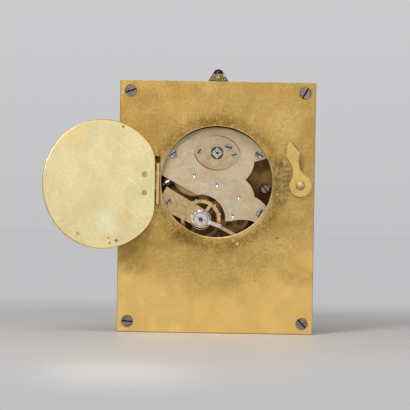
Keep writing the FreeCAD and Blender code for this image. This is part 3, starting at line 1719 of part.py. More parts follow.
def build_escapement():
    thick = value("fork_thick")
    escape_mid = value("pillar_out + escape_level + wheel_thick / 2")
    low = escape_mid - thick / 2
    reach, toward = span("pallet", "escape")
    away = span("pallet", "balance")[1]
    clear = value("escape_radius + stone_gap") + math.radians(value("pallet_swing_angle")) * reach
    half = value("stone_width / 2")
    solids = [rod(value("fork_width"), low, low + thick)]
    rest = math.acos(
        (reach * reach + clear * clear - (STONE_REACH_SHARE * reach) ** 2) / (2 * reach * clear)
    )
    for side in (1, -1):
        spin = toward + math.pi + side * rest
        stone = Vector(
            reach * math.cos(toward) + clear * math.cos(spin),
            0,
            reach * math.sin(toward) + clear * math.sin(spin),
        )
        out = Vector(math.cos(spin), 0, math.sin(spin))
        along = Vector(-out.z, 0, out.x)
        corners = [
            stone + along * half,
            stone - along * half,
            stone - along * half + out * half * 2,
            stone + along * half + out * half * 2,
        ]
        block = Part.Face(Part.makePolygon(corners + corners[:1])).extrude(Vector(0, thick, 0))
        solids.append(moved(block, 0, low, 0))
        end = stone + out * half
        length, wide = end.Length, value("fork_arm_width")
        arm = Part.makeBox(length, thick, wide, Vector(0, low, -wide / 2))
        arm.rotate(Vector(0, 0, 0), Vector(0, 1, 0), -math.degrees(math.atan2(end.z, end.x)))
        solids.append(arm)
    wide = value("fork_handle_width")
    handle = Part.makeBox(value("fork_reach"), thick, wide, Vector(0, low, -wide / 2))
    handle.rotate(Vector(0, 0, 0), Vector(0, 1, 0), -math.degrees(away))
    shake = value("end_shake")
    pivot = value("pivot_radius")
    cock_low = value("pillar_out + escape_level + wheel_thick + pallet_cock_gap")
    cock_high = cock_low + value("pallet_cock_thick")
    solids += [
        handle,
        rod(pivot, value("pillar_in"), cock_high),
        rod(value("arbor_radius"), value("pillar_out") + shake, low),
    ]
    keep("pallet_fork", made("pallet_fork", at_arbor(stack(solids), "pallet")))
    centre_z = value("movement_height")
    height = value("pallet_cock_thick")
    foot = (value("pallet_foot_across"), -value("pallet_foot_down"))
    spots = [
        (ARBORS["escape"], value("pallet_cock_nose"), cock_low),
        (ARBORS["pallet"], value("pallet_cock_radius"), cock_low),
        (foot, value("pallet_foot_radius"), value("pillar_out")),
    ]
    plate = [
        moved(rod(radius, bottom, cock_high), *(at[0], 0, at[1]))
        for at, radius, bottom in spots
    ]
    for (first, first_radius, bottom), (second, second_radius, end) in zip(spots, spots[1:]):
        run = math.hypot(second[0] - first[0], second[1] - first[1])
        wide = 2 * min(first_radius, second_radius)
        strut = Part.makeBox(run, height, wide, Vector(0, cock_low, -wide / 2))
        strut.rotate(
            Vector(0, 0, 0),
            Vector(0, 1, 0),
            -math.degrees(math.atan2(second[1] - first[1], second[0] - first[0])),
        )
        plate.append(moved(strut, first[0], 0, first[1]))
    holes = [
        moved(rod(pivot + value("pivot_gap"), cock_low, cock_high), x, 0, z)
        for x, z in (ARBORS["pallet"], ARBORS["escape"])
    ]
    cock = stack(plate).cut(holes)
    keep("pallet_cock", made("pallet_cock", moved(cock, 0, 0, centre_z)))


def build_balance():
    x, z = "balance_across", "-balance_down"
    rim_low = "pillar_out + balance_level"
    rim = ring(
        "balance_rim_solid",
        "balance_radius",
        "balance_radius - balance_rim",
        "balance_thick",
        spot(x, z, rim_low),
    )
    arm = bar(
        "balance_arm_solid",
        ("2 * (balance_radius - balance_rim / 2)", "balance_thick / 2", "balance_arm"),
        ("-(balance_radius - balance_rim / 2)", "0", "-balance_arm / 2"),
        spot(x, z, rim_low),
        "balance_arm_angle",
    )
    hub = cylinder("balance_hub_solid", "balance_hub", "balance_thick / 2", spot(x, z, rim_low))
    screws = []
    for number in range(int(value("balance_screws"))):
        angle = 2 * math.pi * (number + 0.5) / value("balance_screws")
        peg = DOC.addObject("Part::Cylinder", f"balance_peg_{number}")
        peg.setExpression("Radius", bound("balance_screw_radius"))
        peg.setExpression("Height", bound("balance_screw_length + balance_rim / 2"))
        side, ahead = round(math.cos(angle), 9), round(math.sin(angle), 9)
        put(
            peg,
            (
                f"balance_across + (balance_radius - balance_rim / 2) * {side}",
                f"{rim_low} + balance_thick / 2",
                f"movement_height - balance_down + (balance_radius - balance_rim / 2) * {ahead}",
            ),
            Rotation(Vector(0, 0, 1), Vector(side, 0, ahead)),
        )
        screws.append(peg)
    bore = cylinder("balance_bore", "staff_radius", "balance_thick", spot(x, z, rim_low))
    keep("balance_wheel", cut("balance_wheel", fuse("balance_blank", rim, arm, hub, *screws), bore))
    roller_low = "pillar_out + roller_level"
    staff = fuse(
        "balance_staff",
        cylinder(
            "staff_body",
            "staff_radius",
            "hairspring_level + hairspring_height - roller_level",
            spot(x, z, roller_low),
        ),
        cylinder("staff_pivots", "pivot_radius", "cock_out - pillar_in", spot(x, z, "pillar_in")),
        cylinder("staff_roller", "roller_radius", "roller_thick", spot(x, z, roller_low)),
        cylinder(
            "staff_seat",
            "hairspring_start",
            "hairspring_height",
            spot(x, z, "pillar_out + hairspring_level"),
        ),
    )
    keep("balance_staff", staff)
    halves = 2 * int((value("cock_half_width - hairspring_start")) / value("hairspring_pitch"))
    coil = spiral(
        value("hairspring_start"),
        value("hairspring_pitch"),
        value("hairspring_thick"),
        halves,
        value("hairspring_height"),
        180 - value("regulator_angle"),
    )
    coil = moved(coil, 0, value("pillar_out + hairspring_level"), 0)
    keep("hairspring", made("hairspring", at_arbor(coil, "balance")))
    far = value("hairspring_start + hairspring_thick / 2") + halves / 2 * value("hairspring_pitch")
    turn = math.radians(180 - value("regulator_angle"))
    stud = rod(value("stud_radius"), value("pillar_out + hairspring_level"), value("cock_in"))
    far += value("stud_radius + hairspring_thick")
    stud = moved(stud, far * math.cos(turn), 0, -far * math.sin(turn))
    keep("hairspring_stud", made("hairspring_stud", at_arbor(stud, "balance")))

    cock = body("balance_cock_blank")
    drawn = sketch(cock, "cock_outline", "cock_in - top_out")
    wide, long = "cock_half_width", "cock_length"
    low, broad = "-cock_low_width", "cock_foot_width"
    outline(drawn, [("0", low), (long, low), (long, broad), ("0", wide)])
    pad(cock, drawn, "cock_thick")
    DOC.recompute()
    drawn = sketch(cock, "cock_nose", "cock_in - top_out")
    circle(drawn, wide)
    pad(cock, drawn, "cock_thick")
    DOC.recompute()
    drawn = sketch(cock, "cock_foot", "pillar_out - top_out")
    slope = "(cock_foot_width - cock_half_width) / cock_length"
    inner = f"cock_half_width + cock_foot_start * {slope}"
    foot = "cock_foot_start"
    outline(drawn, [(foot, low), (long, low), (long, broad), (foot, inner)])
    pad(cock, drawn, "cock_out - pillar_out")
    DOC.recompute()
    drawn = sketch(cock, "cock_holes", "cock_in - top_out")
    circle(drawn, "pivot_radius + pivot_gap")
    pocket(cock, drawn, "cock_thick")
    drawn = sketch(cock, "cock_screw_hole", "cock_out - top_out - plate_screw_length")
    circle(drawn, "plate_screw_shank", ("cock_screw_place", "cock_screw_side"))
    pocket(cock, drawn, "plate_screw_length")
    put(cock, spot(x, z, "top_out"), Rotation(Vector(0, 1, 0), -value("cock_angle")))
    cock.setExpression("Placement.Rotation.Angle", bound("-cock_angle"))
    limit = cylinder(
        "cock_limit", "top_plate_radius", "frame_depth", ("0", "pillar_out", "movement_height")
    )
    trimmed = DOC.addObject("Part::Common", "cock_trimmed")
    trimmed.Base = cock
    trimmed.Tool = limit
    keep("balance_cock", trimmed)
    lean = math.radians(value("cock_angle"))
    side, ahead = round(math.cos(lean), 9), round(math.sin(lean), 9)
    screw = slotted_screw(
        "cock_screw",
        "cock_screw_head",
        "plate_screw_rise",
        "0",
        "plate_screw_shank",
        "plate_screw_length",
        (
            f"balance_across + cock_screw_place * {side} - cock_screw_side * {ahead}",
            "cock_out",
            f"balance_up + cock_screw_place * {ahead} + cock_screw_side * {side}",
        ),
        45.0,
        ("small_slot_width", "small_slot_depth"),
    )
    keep("cock_screw", screw)
    at = spot(x, z, "cock_out")
    index = fuse(
        "regulator_blank",
        cone(
            "regulator_ring_solid",
            "regulator_ring",
            "regulator_ring - regulator_bevel",
            "regulator_ring_rise",
            at,
        ),
        bar(
            "regulator_arm_solid",
            ("regulator_arm", "regulator_thick", "regulator_arm_width"),
            ("0", "0", "-regulator_arm_width / 2"),
            at,
            "-regulator_angle",
        ),
        bar(
            "regulator_tail_solid",
            ("regulator_tail", "regulator_thick", "regulator_tail_width"),
            ("-regulator_tail", "0", "-regulator_tail_width / 2"),
            at,
            "-regulator_angle",
        ),
    )
    keep(
        "regulator",
        cut(
            "regulator",
            index,
            cylinder("regulator_bore_solid", "regulator_bore", "regulator_ring_rise", at),
        ),
    )
    cap_at = spot(x, z, "cock_out + end_cap_rise - end_cap_bevel")
    sink_at = spot(x, z, "cock_out + end_cap_rise - end_cap_sink")
    cap = cut(
        "end_cap",
        fuse(
            "end_cap_blank",
            cylinder("end_cap_solid", "end_cap_radius", "end_cap_rise - end_cap_bevel", at),
            cone(
                "end_cap_edge", "end_cap_radius", "end_cap_radius - end_cap_bevel", "end_cap_bevel", cap_at
            ),
        ),
        cylinder("end_cap_hole", "end_jewel_hole", "end_cap_rise", at),
        cone(
            "end_cap_dish", "end_jewel_hole", "end_jewel_hole + end_cap_sink", "end_cap_sink", sink_at
        ),
    )
    keep("end_cap", cap)
    keep("end_jewel", cylinder("end_jewel", "end_jewel_hole", "end_jewel_rise", at))

    turn = math.radians(value("side_cock_angle"))
    run, climb = round(math.cos(turn), 9), round(-math.sin(turn), 9)
    reach = "(side_cock_length - side_cock_width / 2)"
    foot_at = (
        f"-side_cock_across + {reach} * {run}",
        "pillar_out",
        f"movement_height - side_cock_down + {reach} * {climb}",
    )
    side_cock = fuse(
        "side_cock",
        bar(
            "side_cock_strip",
            ("side_cock_length", "side_cock_thick", "side_cock_width"),
            ("0", "0", "-side_cock_width / 2"),
            spot("-side_cock_across", "-side_cock_down", "pillar_out + side_cock_level"),
            "side_cock_angle",
        ),
        cylinder(
            "side_cock_post", "side_cock_foot", "side_cock_level + side_cock_thick / 2", foot_at
        ),
    )
    keep("side_cock", side_cock)


# Ring, bezel, glass, dial and hands


BEZEL_SHARES = (0.3, 0.35, 0.8, 0.9)


def build_front():
    inner = "pillar_plate_radius + ring_gap"
    outer = f"{inner} + ring_wall"
    profile = [
        ("ring_bore", "panel_in"),
        (outer, "panel_in"),
        (outer, "pillar_out"),
        (inner, "pillar_out"),
        (inner, "dial_in"),
        ("ring_bore", "dial_in"),
    ]
    hold = revolved("movement_ring", profile, plane="XY_Plane")
    put(hold, ("0", "0", "movement_height"))
    keep("movement_ring", hold)
    screws = []
    for number, turn in enumerate(("case_screw_angle", "case_screw_angle + 180")):
        angle = math.radians(value(turn))
        side, ahead = round(math.cos(angle), 9), round(math.sin(angle), 9)
        reach = f"{inner} + case_screw_lap"
        screws.append(
            cylinder(
                f"case_screw_{number}",
                "case_screw_head",
                "case_screw_rise",
                (f"({reach}) * {side}", "pillar_out", f"movement_height + ({reach}) * {ahead}"),
            )
        )
    keep("case_screws", group("case_screw_set", screws))

    tube = "ring_bore - bezel_tube_gap"
    edge, bulge_in, bulge_out, crest = BEZEL_SHARES
    profile = [
        ("bezel_seat", "panel_in + bezel_tube_length"),
        (tube, "panel_in + bezel_tube_length"),
        (tube, "frame_front"),
        ("bezel_radius", "frame_front"),
        ("bezel_radius", f"frame_front - bezel_height * {edge}"),
        (
            f"bezel_radius - bezel_height * {bulge_in}",
            f"frame_front - bezel_height * {bulge_out}",
            f"bezel_radius - bezel_height * {crest}",
            "frame_front - bezel_height",
        ),
        ("bezel_sight + bezel_lip / 2", "frame_front - bezel_height"),
        ("bezel_sight", "frame_front - bezel_height + bezel_lip / 2"),
        ("bezel_sight", "frame_front - bezel_height + bezel_lip"),
        ("bezel_seat", "frame_front - bezel_height + bezel_lip"),
    ]
    bezel = revolved("bezel", profile, plane="XY_Plane")
    put(bezel, ("0", "0", "movement_height"))
    keep("bezel", bezel)
    sight, seat = "bezel_sight - glass_gap", "bezel_seat - glass_gap"
    back = "glass_front + glass_rim"
    profile = [
        ("0", f"{back} - glass_dome"),
        (f"{sight} - glass_rim", back, "dome"),
        (seat, back),
        (seat, "glass_front"),
        (sight, "glass_front"),
        (sight, "glass_front - glass_gap * 2"),
        ("0", "glass_front - glass_gap * 2 - glass_dome", "dome"),
    ]
    glass = revolved("crystal", profile, plane="XY_Plane")
    put(glass, ("0", "0", "movement_height"))
    keep("crystal", glass)

    face = cylinder("dial_face", "dial_radius", "dial_thick", ("0", "dial_out", "movement_height"))
    feet = [
        cylinder(
            f"dial_foot_{number}",
            "dial_foot_radius",
            "pillar_out - dial_in",
            spot(f"{side}dial_foot_across", "0", "dial_in"),
        )
        for number, side in enumerate(("", "-"))
    ]
    hole = cylinder("dial_centre", "dial_hole", "dial_thick", ("0", "dial_out", "movement_height"))
    keep("dial", cut("dial", fuse("dial_blank", face, *feet), hole))


HOUR_SHARES = [(0.09, 0.0), (0.06, 0.5), (0.11, 0.66), (0.05, 0.84)]
MINUTE_SHARES = [(0.06, 0.0), (0.035, 0.5), (0.062, 0.7), (0.026, 0.86)]


def hand_shape(length, shares, bore, thick):
    """A flat hand with a round boss and a leaf-shaped blade, pointing up."""
    right = [Vector(length * wide, 0, length * far) for wide, far in shares]
    left = [Vector(-point.x, 0, point.z) for point in reversed(right)]
    corners = right + [Vector(0, 0, length)] + left
    blade = Part.Face(Part.makePolygon(corners + corners[:1])).extrude(Vector(0, thick, 0))
    return stack([blade, rod(value("hand_boss"), 0, thick)]).cut(rod(bore, 0, thick))


def build_motion():
    centre = value("movement_height")
    thick = value("motion_wheel_thick")
    across = value("minute_wheel_across")
    gap = value("pipe_gap")
    step = value("motion_step")
    cannon_count, minute_count = int(value("cannon_leaves")), int(value("minute_teeth"))
    leaf_count, hour_count = int(value("minute_leaves")), int(value("hour_teeth"))
    first_module = 2 * across / (cannon_count + minute_count)
    second_module = 2 * across / (leaf_count + hour_count)
    minute_low = value("pillar_in") - step - thick
    hour_low = minute_low - step - thick
    hour_hand = value("dial_out - hour_hand_lift - hand_thick")
    minute_hand = value("dial_out - hour_hand_lift - hand_step") - value("hand_thick")
    front = value("cannon_front")
    cannon = stack(
        [
            rod(value("cannon_radius"), front, value("pillar_in") - value("end_shake")),
            moved(
                leaf_shape(cannon_count, first_module, math.pi / cannon_count, thick + step),
                0,
                minute_low - step / 4,
                0,
            ),
        ]
    )
    bore = rod(value("cannon_bore"), front + value("hand_thick"), value("pillar_in"))
    keep("cannon_pinion", made("cannon_pinion", moved(cannon.cut(bore), 0, 0, centre)))
    wheel = moved(wheel_shape(minute_count, first_module, math.pi, thick), 0, minute_low, 0)
    leaves = moved(
        leaf_shape(leaf_count, second_module, math.pi + math.pi / leaf_count, thick + step),
        0,
        hour_low - step / 4,
        0,
    )
    post = rod(
        value("pivot_radius"),
        value("dial_in") + value("end_shake"),
        value("pillar_in") - value("end_shake"),
    )
    keep(
        "minute_wheel", made("minute_wheel", moved(stack([wheel, leaves, post]), across, 0, centre))
    )
    hour = moved(wheel_shape(hour_count, second_module, 0, thick), 0, hour_low, 0)
    pipe = rod(value("hour_pipe_radius"), hour_hand, hour_low + thick)
    hollow = rod(value("cannon_radius") + gap, hour_hand, hour_low + thick)
    keep("hour_wheel", made("hour_wheel", moved(stack([hour, pipe]).cut(hollow), 0, 0, centre)))
    for name, length, shares, bore_radius, low, turn in (
        (
            "hour_hand",
            "hour_hand_length",
            HOUR_SHARES,
            "hour_pipe_radius",
            hour_hand,
            "hour_hand_angle",
        ),
        (
            "minute_hand",
            "minute_hand_length",
            MINUTE_SHARES,
            "cannon_radius",
            minute_hand,
            "minute_hand_angle",
        ),
    ):
        shape = hand_shape(value(length), shares, value(bore_radius), value("hand_thick"))
        shape.rotate(Vector(0, 0, 0), Vector(0, 1, 0), value(turn))
        keep(name, made(name, moved(shape, 0, low, centre)))


build_case()
build_lid()
build_latch()
build_winding()
build_plates()
build_barrel_cap()
build_train()
build_escapement()
build_balance()
build_front()
build_motion()
DOC.recompute()

# Every object must have built cleanly before anything is written.
for item in DOC.Objects:
    if "Invalid" in item.State or "Error" in item.State:
        raise ValueError(f"{item.Label} did not build: {item.State}")
os.makedirs("parts", exist_ok=True)
for node, item in NODES.items():
    shape = item.Shape
    if shape.isNull() or not shape.isValid() or not shape.Solids:
        raise ValueError(f"{node} has no valid solid")
    shape.exportStep(f"parts/{node}.step")
print(len(NODES), "pieces written")
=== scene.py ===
# %% [markdown]
# A small table clock, seen from behind with its round lid open. Every solid piece comes from the
# CAD model, already in place and in metres, so this lesson only dresses it: finishes, printing on
# the dial, a floor, lamps and a camera. Loading comes first, because everything else is placed by
# it.

# %% Load the frame
import math
import bpy
import numpy as np
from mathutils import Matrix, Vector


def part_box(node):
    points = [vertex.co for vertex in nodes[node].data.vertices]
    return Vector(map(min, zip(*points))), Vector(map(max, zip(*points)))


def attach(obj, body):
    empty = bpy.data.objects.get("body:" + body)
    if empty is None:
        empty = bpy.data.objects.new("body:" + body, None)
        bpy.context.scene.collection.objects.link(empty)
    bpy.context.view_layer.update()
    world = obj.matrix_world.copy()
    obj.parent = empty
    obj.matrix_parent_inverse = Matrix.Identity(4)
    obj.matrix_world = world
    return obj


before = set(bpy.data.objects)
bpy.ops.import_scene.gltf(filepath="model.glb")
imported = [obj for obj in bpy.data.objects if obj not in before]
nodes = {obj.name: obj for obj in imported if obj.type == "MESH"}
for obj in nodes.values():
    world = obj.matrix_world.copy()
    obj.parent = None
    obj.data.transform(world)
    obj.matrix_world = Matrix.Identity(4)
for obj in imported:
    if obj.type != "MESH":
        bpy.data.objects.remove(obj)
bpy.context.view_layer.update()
scene = bpy.context.scene
scene.view_settings.view_transform = "Standard"

# %% [markdown]
# Two places are used again and again: the outer face of the back plate and the centre of the round
# opening. They are read from the nodes' boxes, so they follow the model. The opening's centre is
# the middle of the movement's ring, raised a little.

# %% Places on the clock
MM = 0.001
plate_low, plate_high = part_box("back_plate")
ring_low, ring_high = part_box("movement_ring")
OPENING_RISE = 1.1 * MM
opening = (0.0, plate_high.y, (ring_low.z + ring_high.z) / 2 + OPENING_RISE)


def middle(name):
    """The middle of a node's box."""
    low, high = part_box(name)
    return tuple((low + high) / 2)


print("opening centre", [round(value / MM, 2) for value in opening], "mm")

# %% [markdown]
# The CAD meshes are loose triangles, which show as facets on turned pieces. A modifier can join
# the triangles and shade them smooth without touching the mesh: merge by distance, shade
# everything smooth, then mark the edges that turn by more than a limit as sharp. Geometry nodes
# do this in three steps, and one group serves every piece. The glass and the latch's rivet are
# domes, whose triangles all meet in one point at the top. There the imported shading is off, so
# it is worked out anew from the faces, weighted by their areas.

# %% Smooth the turned pieces
SHARP_TURN = math.radians(28)
JOIN_DISTANCE = 0.0005 * MM
DOMES = ("crystal", "latch_rivet")


def smoothing_group():
    """Joins points closer than JOIN_DISTANCE, and keeps edges that turn past SHARP_TURN sharp."""
    group = bpy.data.node_groups.new("smooth_by_turn", "GeometryNodeTree")
    group.interface.new_socket("Geometry", in_out="INPUT", socket_type="NodeSocketGeometry")
    group.interface.new_socket("Geometry", in_out="OUTPUT", socket_type="NodeSocketGeometry")
    made = {
        kind: group.nodes.new(kind)
        for kind in (
            "NodeGroupInput",
            "GeometryNodeMergeByDistance",
            "GeometryNodeInputMeshEdgeAngle",
            "FunctionNodeCompare",
            "NodeGroupOutput",
        )
    }
    smooth = group.nodes.new("GeometryNodeSetShadeSmooth")
    sharp = group.nodes.new("GeometryNodeSetShadeSmooth")
    made["GeometryNodeMergeByDistance"].inputs["Distance"].default_value = JOIN_DISTANCE
    made["FunctionNodeCompare"].operation = "GREATER_THAN"
    made["FunctionNodeCompare"].inputs[1].default_value = SHARP_TURN
    sharp.domain = "EDGE"
    sharp.inputs["Shade Smooth"].default_value = False
    joined, angle = made["GeometryNodeMergeByDistance"], made["GeometryNodeInputMeshEdgeAngle"]
    chain = [made["NodeGroupInput"], joined, smooth, sharp, made["NodeGroupOutput"]]
    for first, second in zip(chain, chain[1:]):
        group.links.new(first.outputs[0], second.inputs[0])
    group.links.new(angle.outputs[0], made["FunctionNodeCompare"].inputs[0])
    group.links.new(made["FunctionNodeCompare"].outputs[0], sharp.inputs["Selection"])
    return group


smooth_by_turn = smoothing_group()
for piece in nodes.values():
    piece.modifiers.new("smooth", "NODES").node_group = smooth_by_turn
for name in DOMES:
    nodes[name].modifiers.new("even_top", "WEIGHTED_NORMAL").keep_sharp = True
print("smoothing on", len(nodes), "pieces")

# %% [markdown]
# Finishes are node materials. Colours are easiest to read as the 0 to 255 numbers of a picture,
# but shaders take linear light, so one function converts them. Two more keep the node building
# short: one starts a material, the other adds a node and fills its sockets with links or plain
# values.

# %% Colour and node helpers


def colour(red, green, blue):
    """A picture colour from 0 to 255 as linear light: the sRGB curve undone for each channel."""
    picture = np.array([red, green, blue]) / 255
    light = np.where(picture <= 0.04045, picture / 12.92, ((picture + 0.055) / 1.055) ** 2.4)
    return (*light.tolist(), 1.0)


def new_finish(name, base, metallic, roughness):
    """A material with one Principled shader; returns it with its tree and that shader."""
    made = bpy.data.materials.new(name)
    made.use_nodes = True
    shader = made.node_tree.nodes["Principled BSDF"]
    shader.inputs["Base Color"].default_value = base
    shader.inputs["Metallic"].default_value = metallic
    shader.inputs["Roughness"].default_value = roughness
    return made, made.node_tree, shader


def add(tree, kind, inputs=None, **settings):
    """Add a shader node: settings are its properties, inputs its sockets by name or number."""
    made = tree.nodes.new("ShaderNode" + kind)
    for key, setting in settings.items():
        setattr(made, key, setting)
    for key, source in (inputs or {}).items():
        if isinstance(source, bpy.types.NodeSocket):
            tree.links.new(source, made.inputs[key])
        else:
            made.inputs[key].default_value = source
    return made


print("helpers ready; white is", colour(255, 255, 255))

# %% [markdown]
# Old gilding is never one colour. Its look is built from a few masks: soft clouds for tarnish,
# thin long streaks for scratches, round spots for pits and stains, and a step along one
# coordinate for wear that follows a height or a side. Each mask is a number from 0 to 1 on the
# surface, read from Object coordinates, so it stays on the piece when the piece moves.

# %% Masks for wear
CLOUD_ROUGHNESS = 0.55
SCRATCH_EDGE = 0.05


def place(tree, at=(0, 0, 0), size=(1, 1, 1), turn=(0, 0, 0)):
    """Object coordinates taken from a point: moved there, turned, and divided by a size."""
    source = add(tree, "TexCoord").outputs["Object"]
    return add(
        tree,
        "Mapping",
        {"Vector": source, "Location": at, "Rotation": turn, "Scale": size},
        vector_type="TEXTURE",
    ).outputs["Vector"]


def coordinate(tree, way, *where):
    """One Object coordinate, X, Y or Z, taken from a point as place does."""
    return add(tree, "SeparateXYZ", {0: place(tree, *where)}).outputs[way]


def distance(tree, *where):
    """The distance from a point, taken as place does and counted in that place's sizes."""
    return add(tree, "VectorMath", {0: place(tree, *where)}, operation="LENGTH").outputs["Value"]


def stretch(tree, value, low, high, bottom=0.0, top=1.0):
    """A smooth step: bottom below low, top above high, and an S-curve between."""
    return add(
        tree,
        "MapRange",
        {"Value": value, "From Min": low, "From Max": high, "To Min": bottom, "To Max": top},
        interpolation_type="SMOOTHSTEP",
    ).outputs["Result"]


def clouds(tree, size, low=0.4, high=0.65, detail=4.0, along=(1, 1, 1), turn=(0, 0, 0)):
    """Noise whose blotches are about a size wide, stepped between two levels."""
    vector = place(tree, (0, 0, 0), tuple(size * way for way in along), turn)
    inputs = {"Vector": vector, "Scale": 1.0, "Detail": detail, "Roughness": CLOUD_ROUGHNESS}
    return stretch(tree, add(tree, "TexNoise", inputs).outputs["Fac"], low, high)


def spot(tree, at, size, soft=0.35, turn=0.0):
    """A round or long spot: 1 inside its radius, fading to 0 over the soft share, turned on Y."""
    far = distance(tree, at, size if isinstance(size, tuple) else (size,) * 3, (0, turn, 0))
    return stretch(tree, far, 1.0 - soft, 1.0 + soft, 1.0, 0.0)


def scratches(tree, length, width, turn, level):
    """Noise drawn out along one way and cut high, which leaves thin broken lines."""
    along = (length, length, width)
    return clouds(tree, 1.0, level, level + SCRATCH_EDGE, 2.0, along, (0, turn, 0))


print("masks: steps, clouds, spots, scratches")

# %% [markdown]
# A mask says where one colour lies over another, and how thickly. Masks are joined by
# multiplying them, so that a stain can be cloudy, close to an edge and thin, all at once. The
# last helper is a fine bump, because old metal is not quite smooth either.

# %% Layers of colour
GRAIN_STRENGTH = 0.6


def times(tree, *masks):
    """The product of masks, each a link or a plain number."""
    total = masks[0]
    for mask in masks[1:]:
        total = add(tree, "Math", {0: total, 1: mask}, operation="MULTIPLY").outputs["Value"]
    return total


def over(tree, under, upper, mask):
    """Lay one colour over another where a mask says so."""
    made = add(tree, "Mix", {0: mask, 6: under, 7: upper}, data_type="RGBA")
    return made.outputs[2]


def wear(tree, under, shade, *masks):
    """Lay a picture colour over a layer where the product of masks says so."""
    return over(tree, under, colour(*shade), times(tree, *masks))


def stain(tree, layer, where, coats):
    """Coats of clouded colour in a mask: cloud size in mm, two levels, detail, colour, amount."""
    for size, low, high, detail, shade, amount in coats:
        layer = wear(tree, layer, shade, where, clouds(tree, size * MM, low, high, detail), amount)
    return layer


def cover(finish, shade, mask):
    """Lay a colour over the colour that a finish already has, where a mask says so."""
    tree = finish.node_tree
    socket = tree.nodes["Principled BSDF"].inputs["Base Color"]
    tree.links.new(over(tree, socket.links[0].from_socket, shade, mask), socket)


def grain(tree, shader, size, depth):
    """A fine bump over the whole piece: noise of a size, raised by a depth."""
    vector = place(tree, (0, 0, 0), (size, size, size))
    noise = add(tree, "TexNoise", {"Vector": vector, "Scale": 1.0, "Detail": 3.0}).outputs["Fac"]
    raised = add(tree, "Bump", {"Height": noise, "Distance": depth, "Strength": GRAIN_STRENGTH})
    tree.links.new(raised.outputs["Normal"], shader.inputs["Normal"])


print("layers: wear, stain, cover, grain")

# %% [markdown]
# The back plate carries most of the clock's age. Its wear is placed in two ways: by spots at
# points of the plate, and by rings about the opening. Places and sizes are in millimetres across
# and up, read off the photograph.

# %% Spots and rings on the plate
# Rings about the opening: inner radius, outer radius, softness
RINGS = {
    # edge is the ring of a painted highlight on the opening's edge
    "edge": (18.6, 19.0, 0.05),
    "rim": (18.7, 22.6, 2.0),
    "rubbed": (18.8, 20.1, 0.5),
    "flecks": (18, 26, 5.0),
    "foot": (36, 90, 9),
}


def flat_spot(tree, at, size, soft, turn=0.0):
    """A spot on a plate: a point and a size across and up in millimetres, through any depth."""
    across, up = size if isinstance(size, tuple) else (size, size)
    centre = (at[0] * MM, plate_high.y, at[1] * MM)
    return spot(tree, centre, (across * MM, 1.0, up * MM), soft, turn)


def from_opening(tree, inner, outer, soft, drop=0.0):
    """A ring between two radii in millimetres, about the opening or a drop below it."""
    far = distance(tree, (opening[0], opening[1], opening[2] - drop * MM), (MM, 1.0, MM))
    inside = stretch(tree, far, inner - soft, inner + soft)
    return times(tree, inside, stretch(tree, far, outer - soft, outer + soft, 1.0, 0.0))


print("rings:", ", ".join(RINGS))

# %% [markdown]
# The plate is gilt brass. Its lower third is brighter, a painted reflection of the floor, so two
# golds are mixed by a mask of the plate's foot, and tarnish, cleaner patches and local shades go
# over them.

# %% Gilding of the back plate
# The plate's colours, for this cell and the next three
PLATE_GILT = {
    "upper": (186, 153, 88),
    # The lower gold is brighter, a painted reflection of the floor
    "lower": (216, 180, 107),
    "tarnish": (160, 127, 64),
    "clean": (208, 177, 110),
    "rubbed": (196, 170, 126),
    "mottle": (140, 110, 54),
    "fleck": (218, 188, 122),
    "scratch": (222, 194, 132),
    # The two edge colours are painted highlights, and the latch's tip colour is a painted shadow
    "opening edge highlight": (236, 205, 136),
    "outer edge highlight": (240, 212, 158),
    "latch tip shadow": (96, 73, 36),
}
TARNISH_SIZE, CLEAN_SIZE, SHADE_SIZE = 8 * MM, 3.4 * MM, 2.6 * MM
# Place, size, colour, amount
SHADES = [
    ((27.5, 30), (6.5, 7), (132, 106, 48), 0.6),
    ((17, 33), (6, 4), (150, 124, 58), 0.5),
    ((0, 79), (34, 5), (172, 142, 78), 0.25),
    ((29, 72), (5, 9), (168, 136, 72), 0.4),
    ((-30, 66), (3.5, 12), (162, 128, 68), 0.55),
    ((23, 79), (6, 3.5), (150, 120, 66), 0.3),
    ((-23, 70), (5.5, 6), (212, 182, 114), 0.45),
    ((-20.5, 38.5), (4, 4), (150, 118, 58), 0.4),
    ((-21.5, 29.5), (5, 3.5), (214, 180, 108), 0.6),
    ((27, 23), (7, 3.6), (150, 120, 60), 0.65),
    ((-28, 20), (6, 3.6), (166, 134, 72), 0.5),
    # These two rows are painted shadow of the latch, beside its head and along its neck
    ((-24.4, 52.0), (0.9, 4.2), (112, 88, 46), 0.65),
    ((-28.4, 57.6), (0.8, 2.6), (124, 98, 48), 0.6),
    ((0, 71), (8, 2.4), (116, 88, 42), 0.6),
    ((10, 33.2), (5, 3), (104, 78, 34), 0.7),
    ((19, 67), (8, 6), (162, 128, 66), 0.45),
]


def gilding(tree, foot):
    """Two golds, the brighter a painted floor reflection at the foot, under tarnish and patches.
    """
    layer = over(tree, colour(*PLATE_GILT["upper"]), colour(*PLATE_GILT["lower"]), foot)
    patchy = stretch(tree, foot, 0.0, 1.0, 0.5, 0.15)
    layer = wear(tree, layer, PLATE_GILT["tarnish"], clouds(tree, TARNISH_SIZE), patchy)
    layer = wear(tree, layer, PLATE_GILT["clean"], clouds(tree, CLEAN_SIZE, 0.5, 0.72), 0.4)
    for at, size, shade, amount in SHADES:
        cloudy = clouds(tree, SHADE_SIZE, 0.15, 0.6)
        layer = wear(tree, layer, shade, flat_spot(tree, at, size, 0.5), cloudy, amount)
    return layer


print("gilding with", len(SHADES), "shades")

# %% [markdown]
# Round the opening runs a brown stain. It follows the rim of the shut lid, so its centre lies a
# little lower than the opening's, and it is rubbed through in two places. Between the opening and
# the latch the plate is greenish, where damp has sat. Each stain is a few coats of clouded colour.

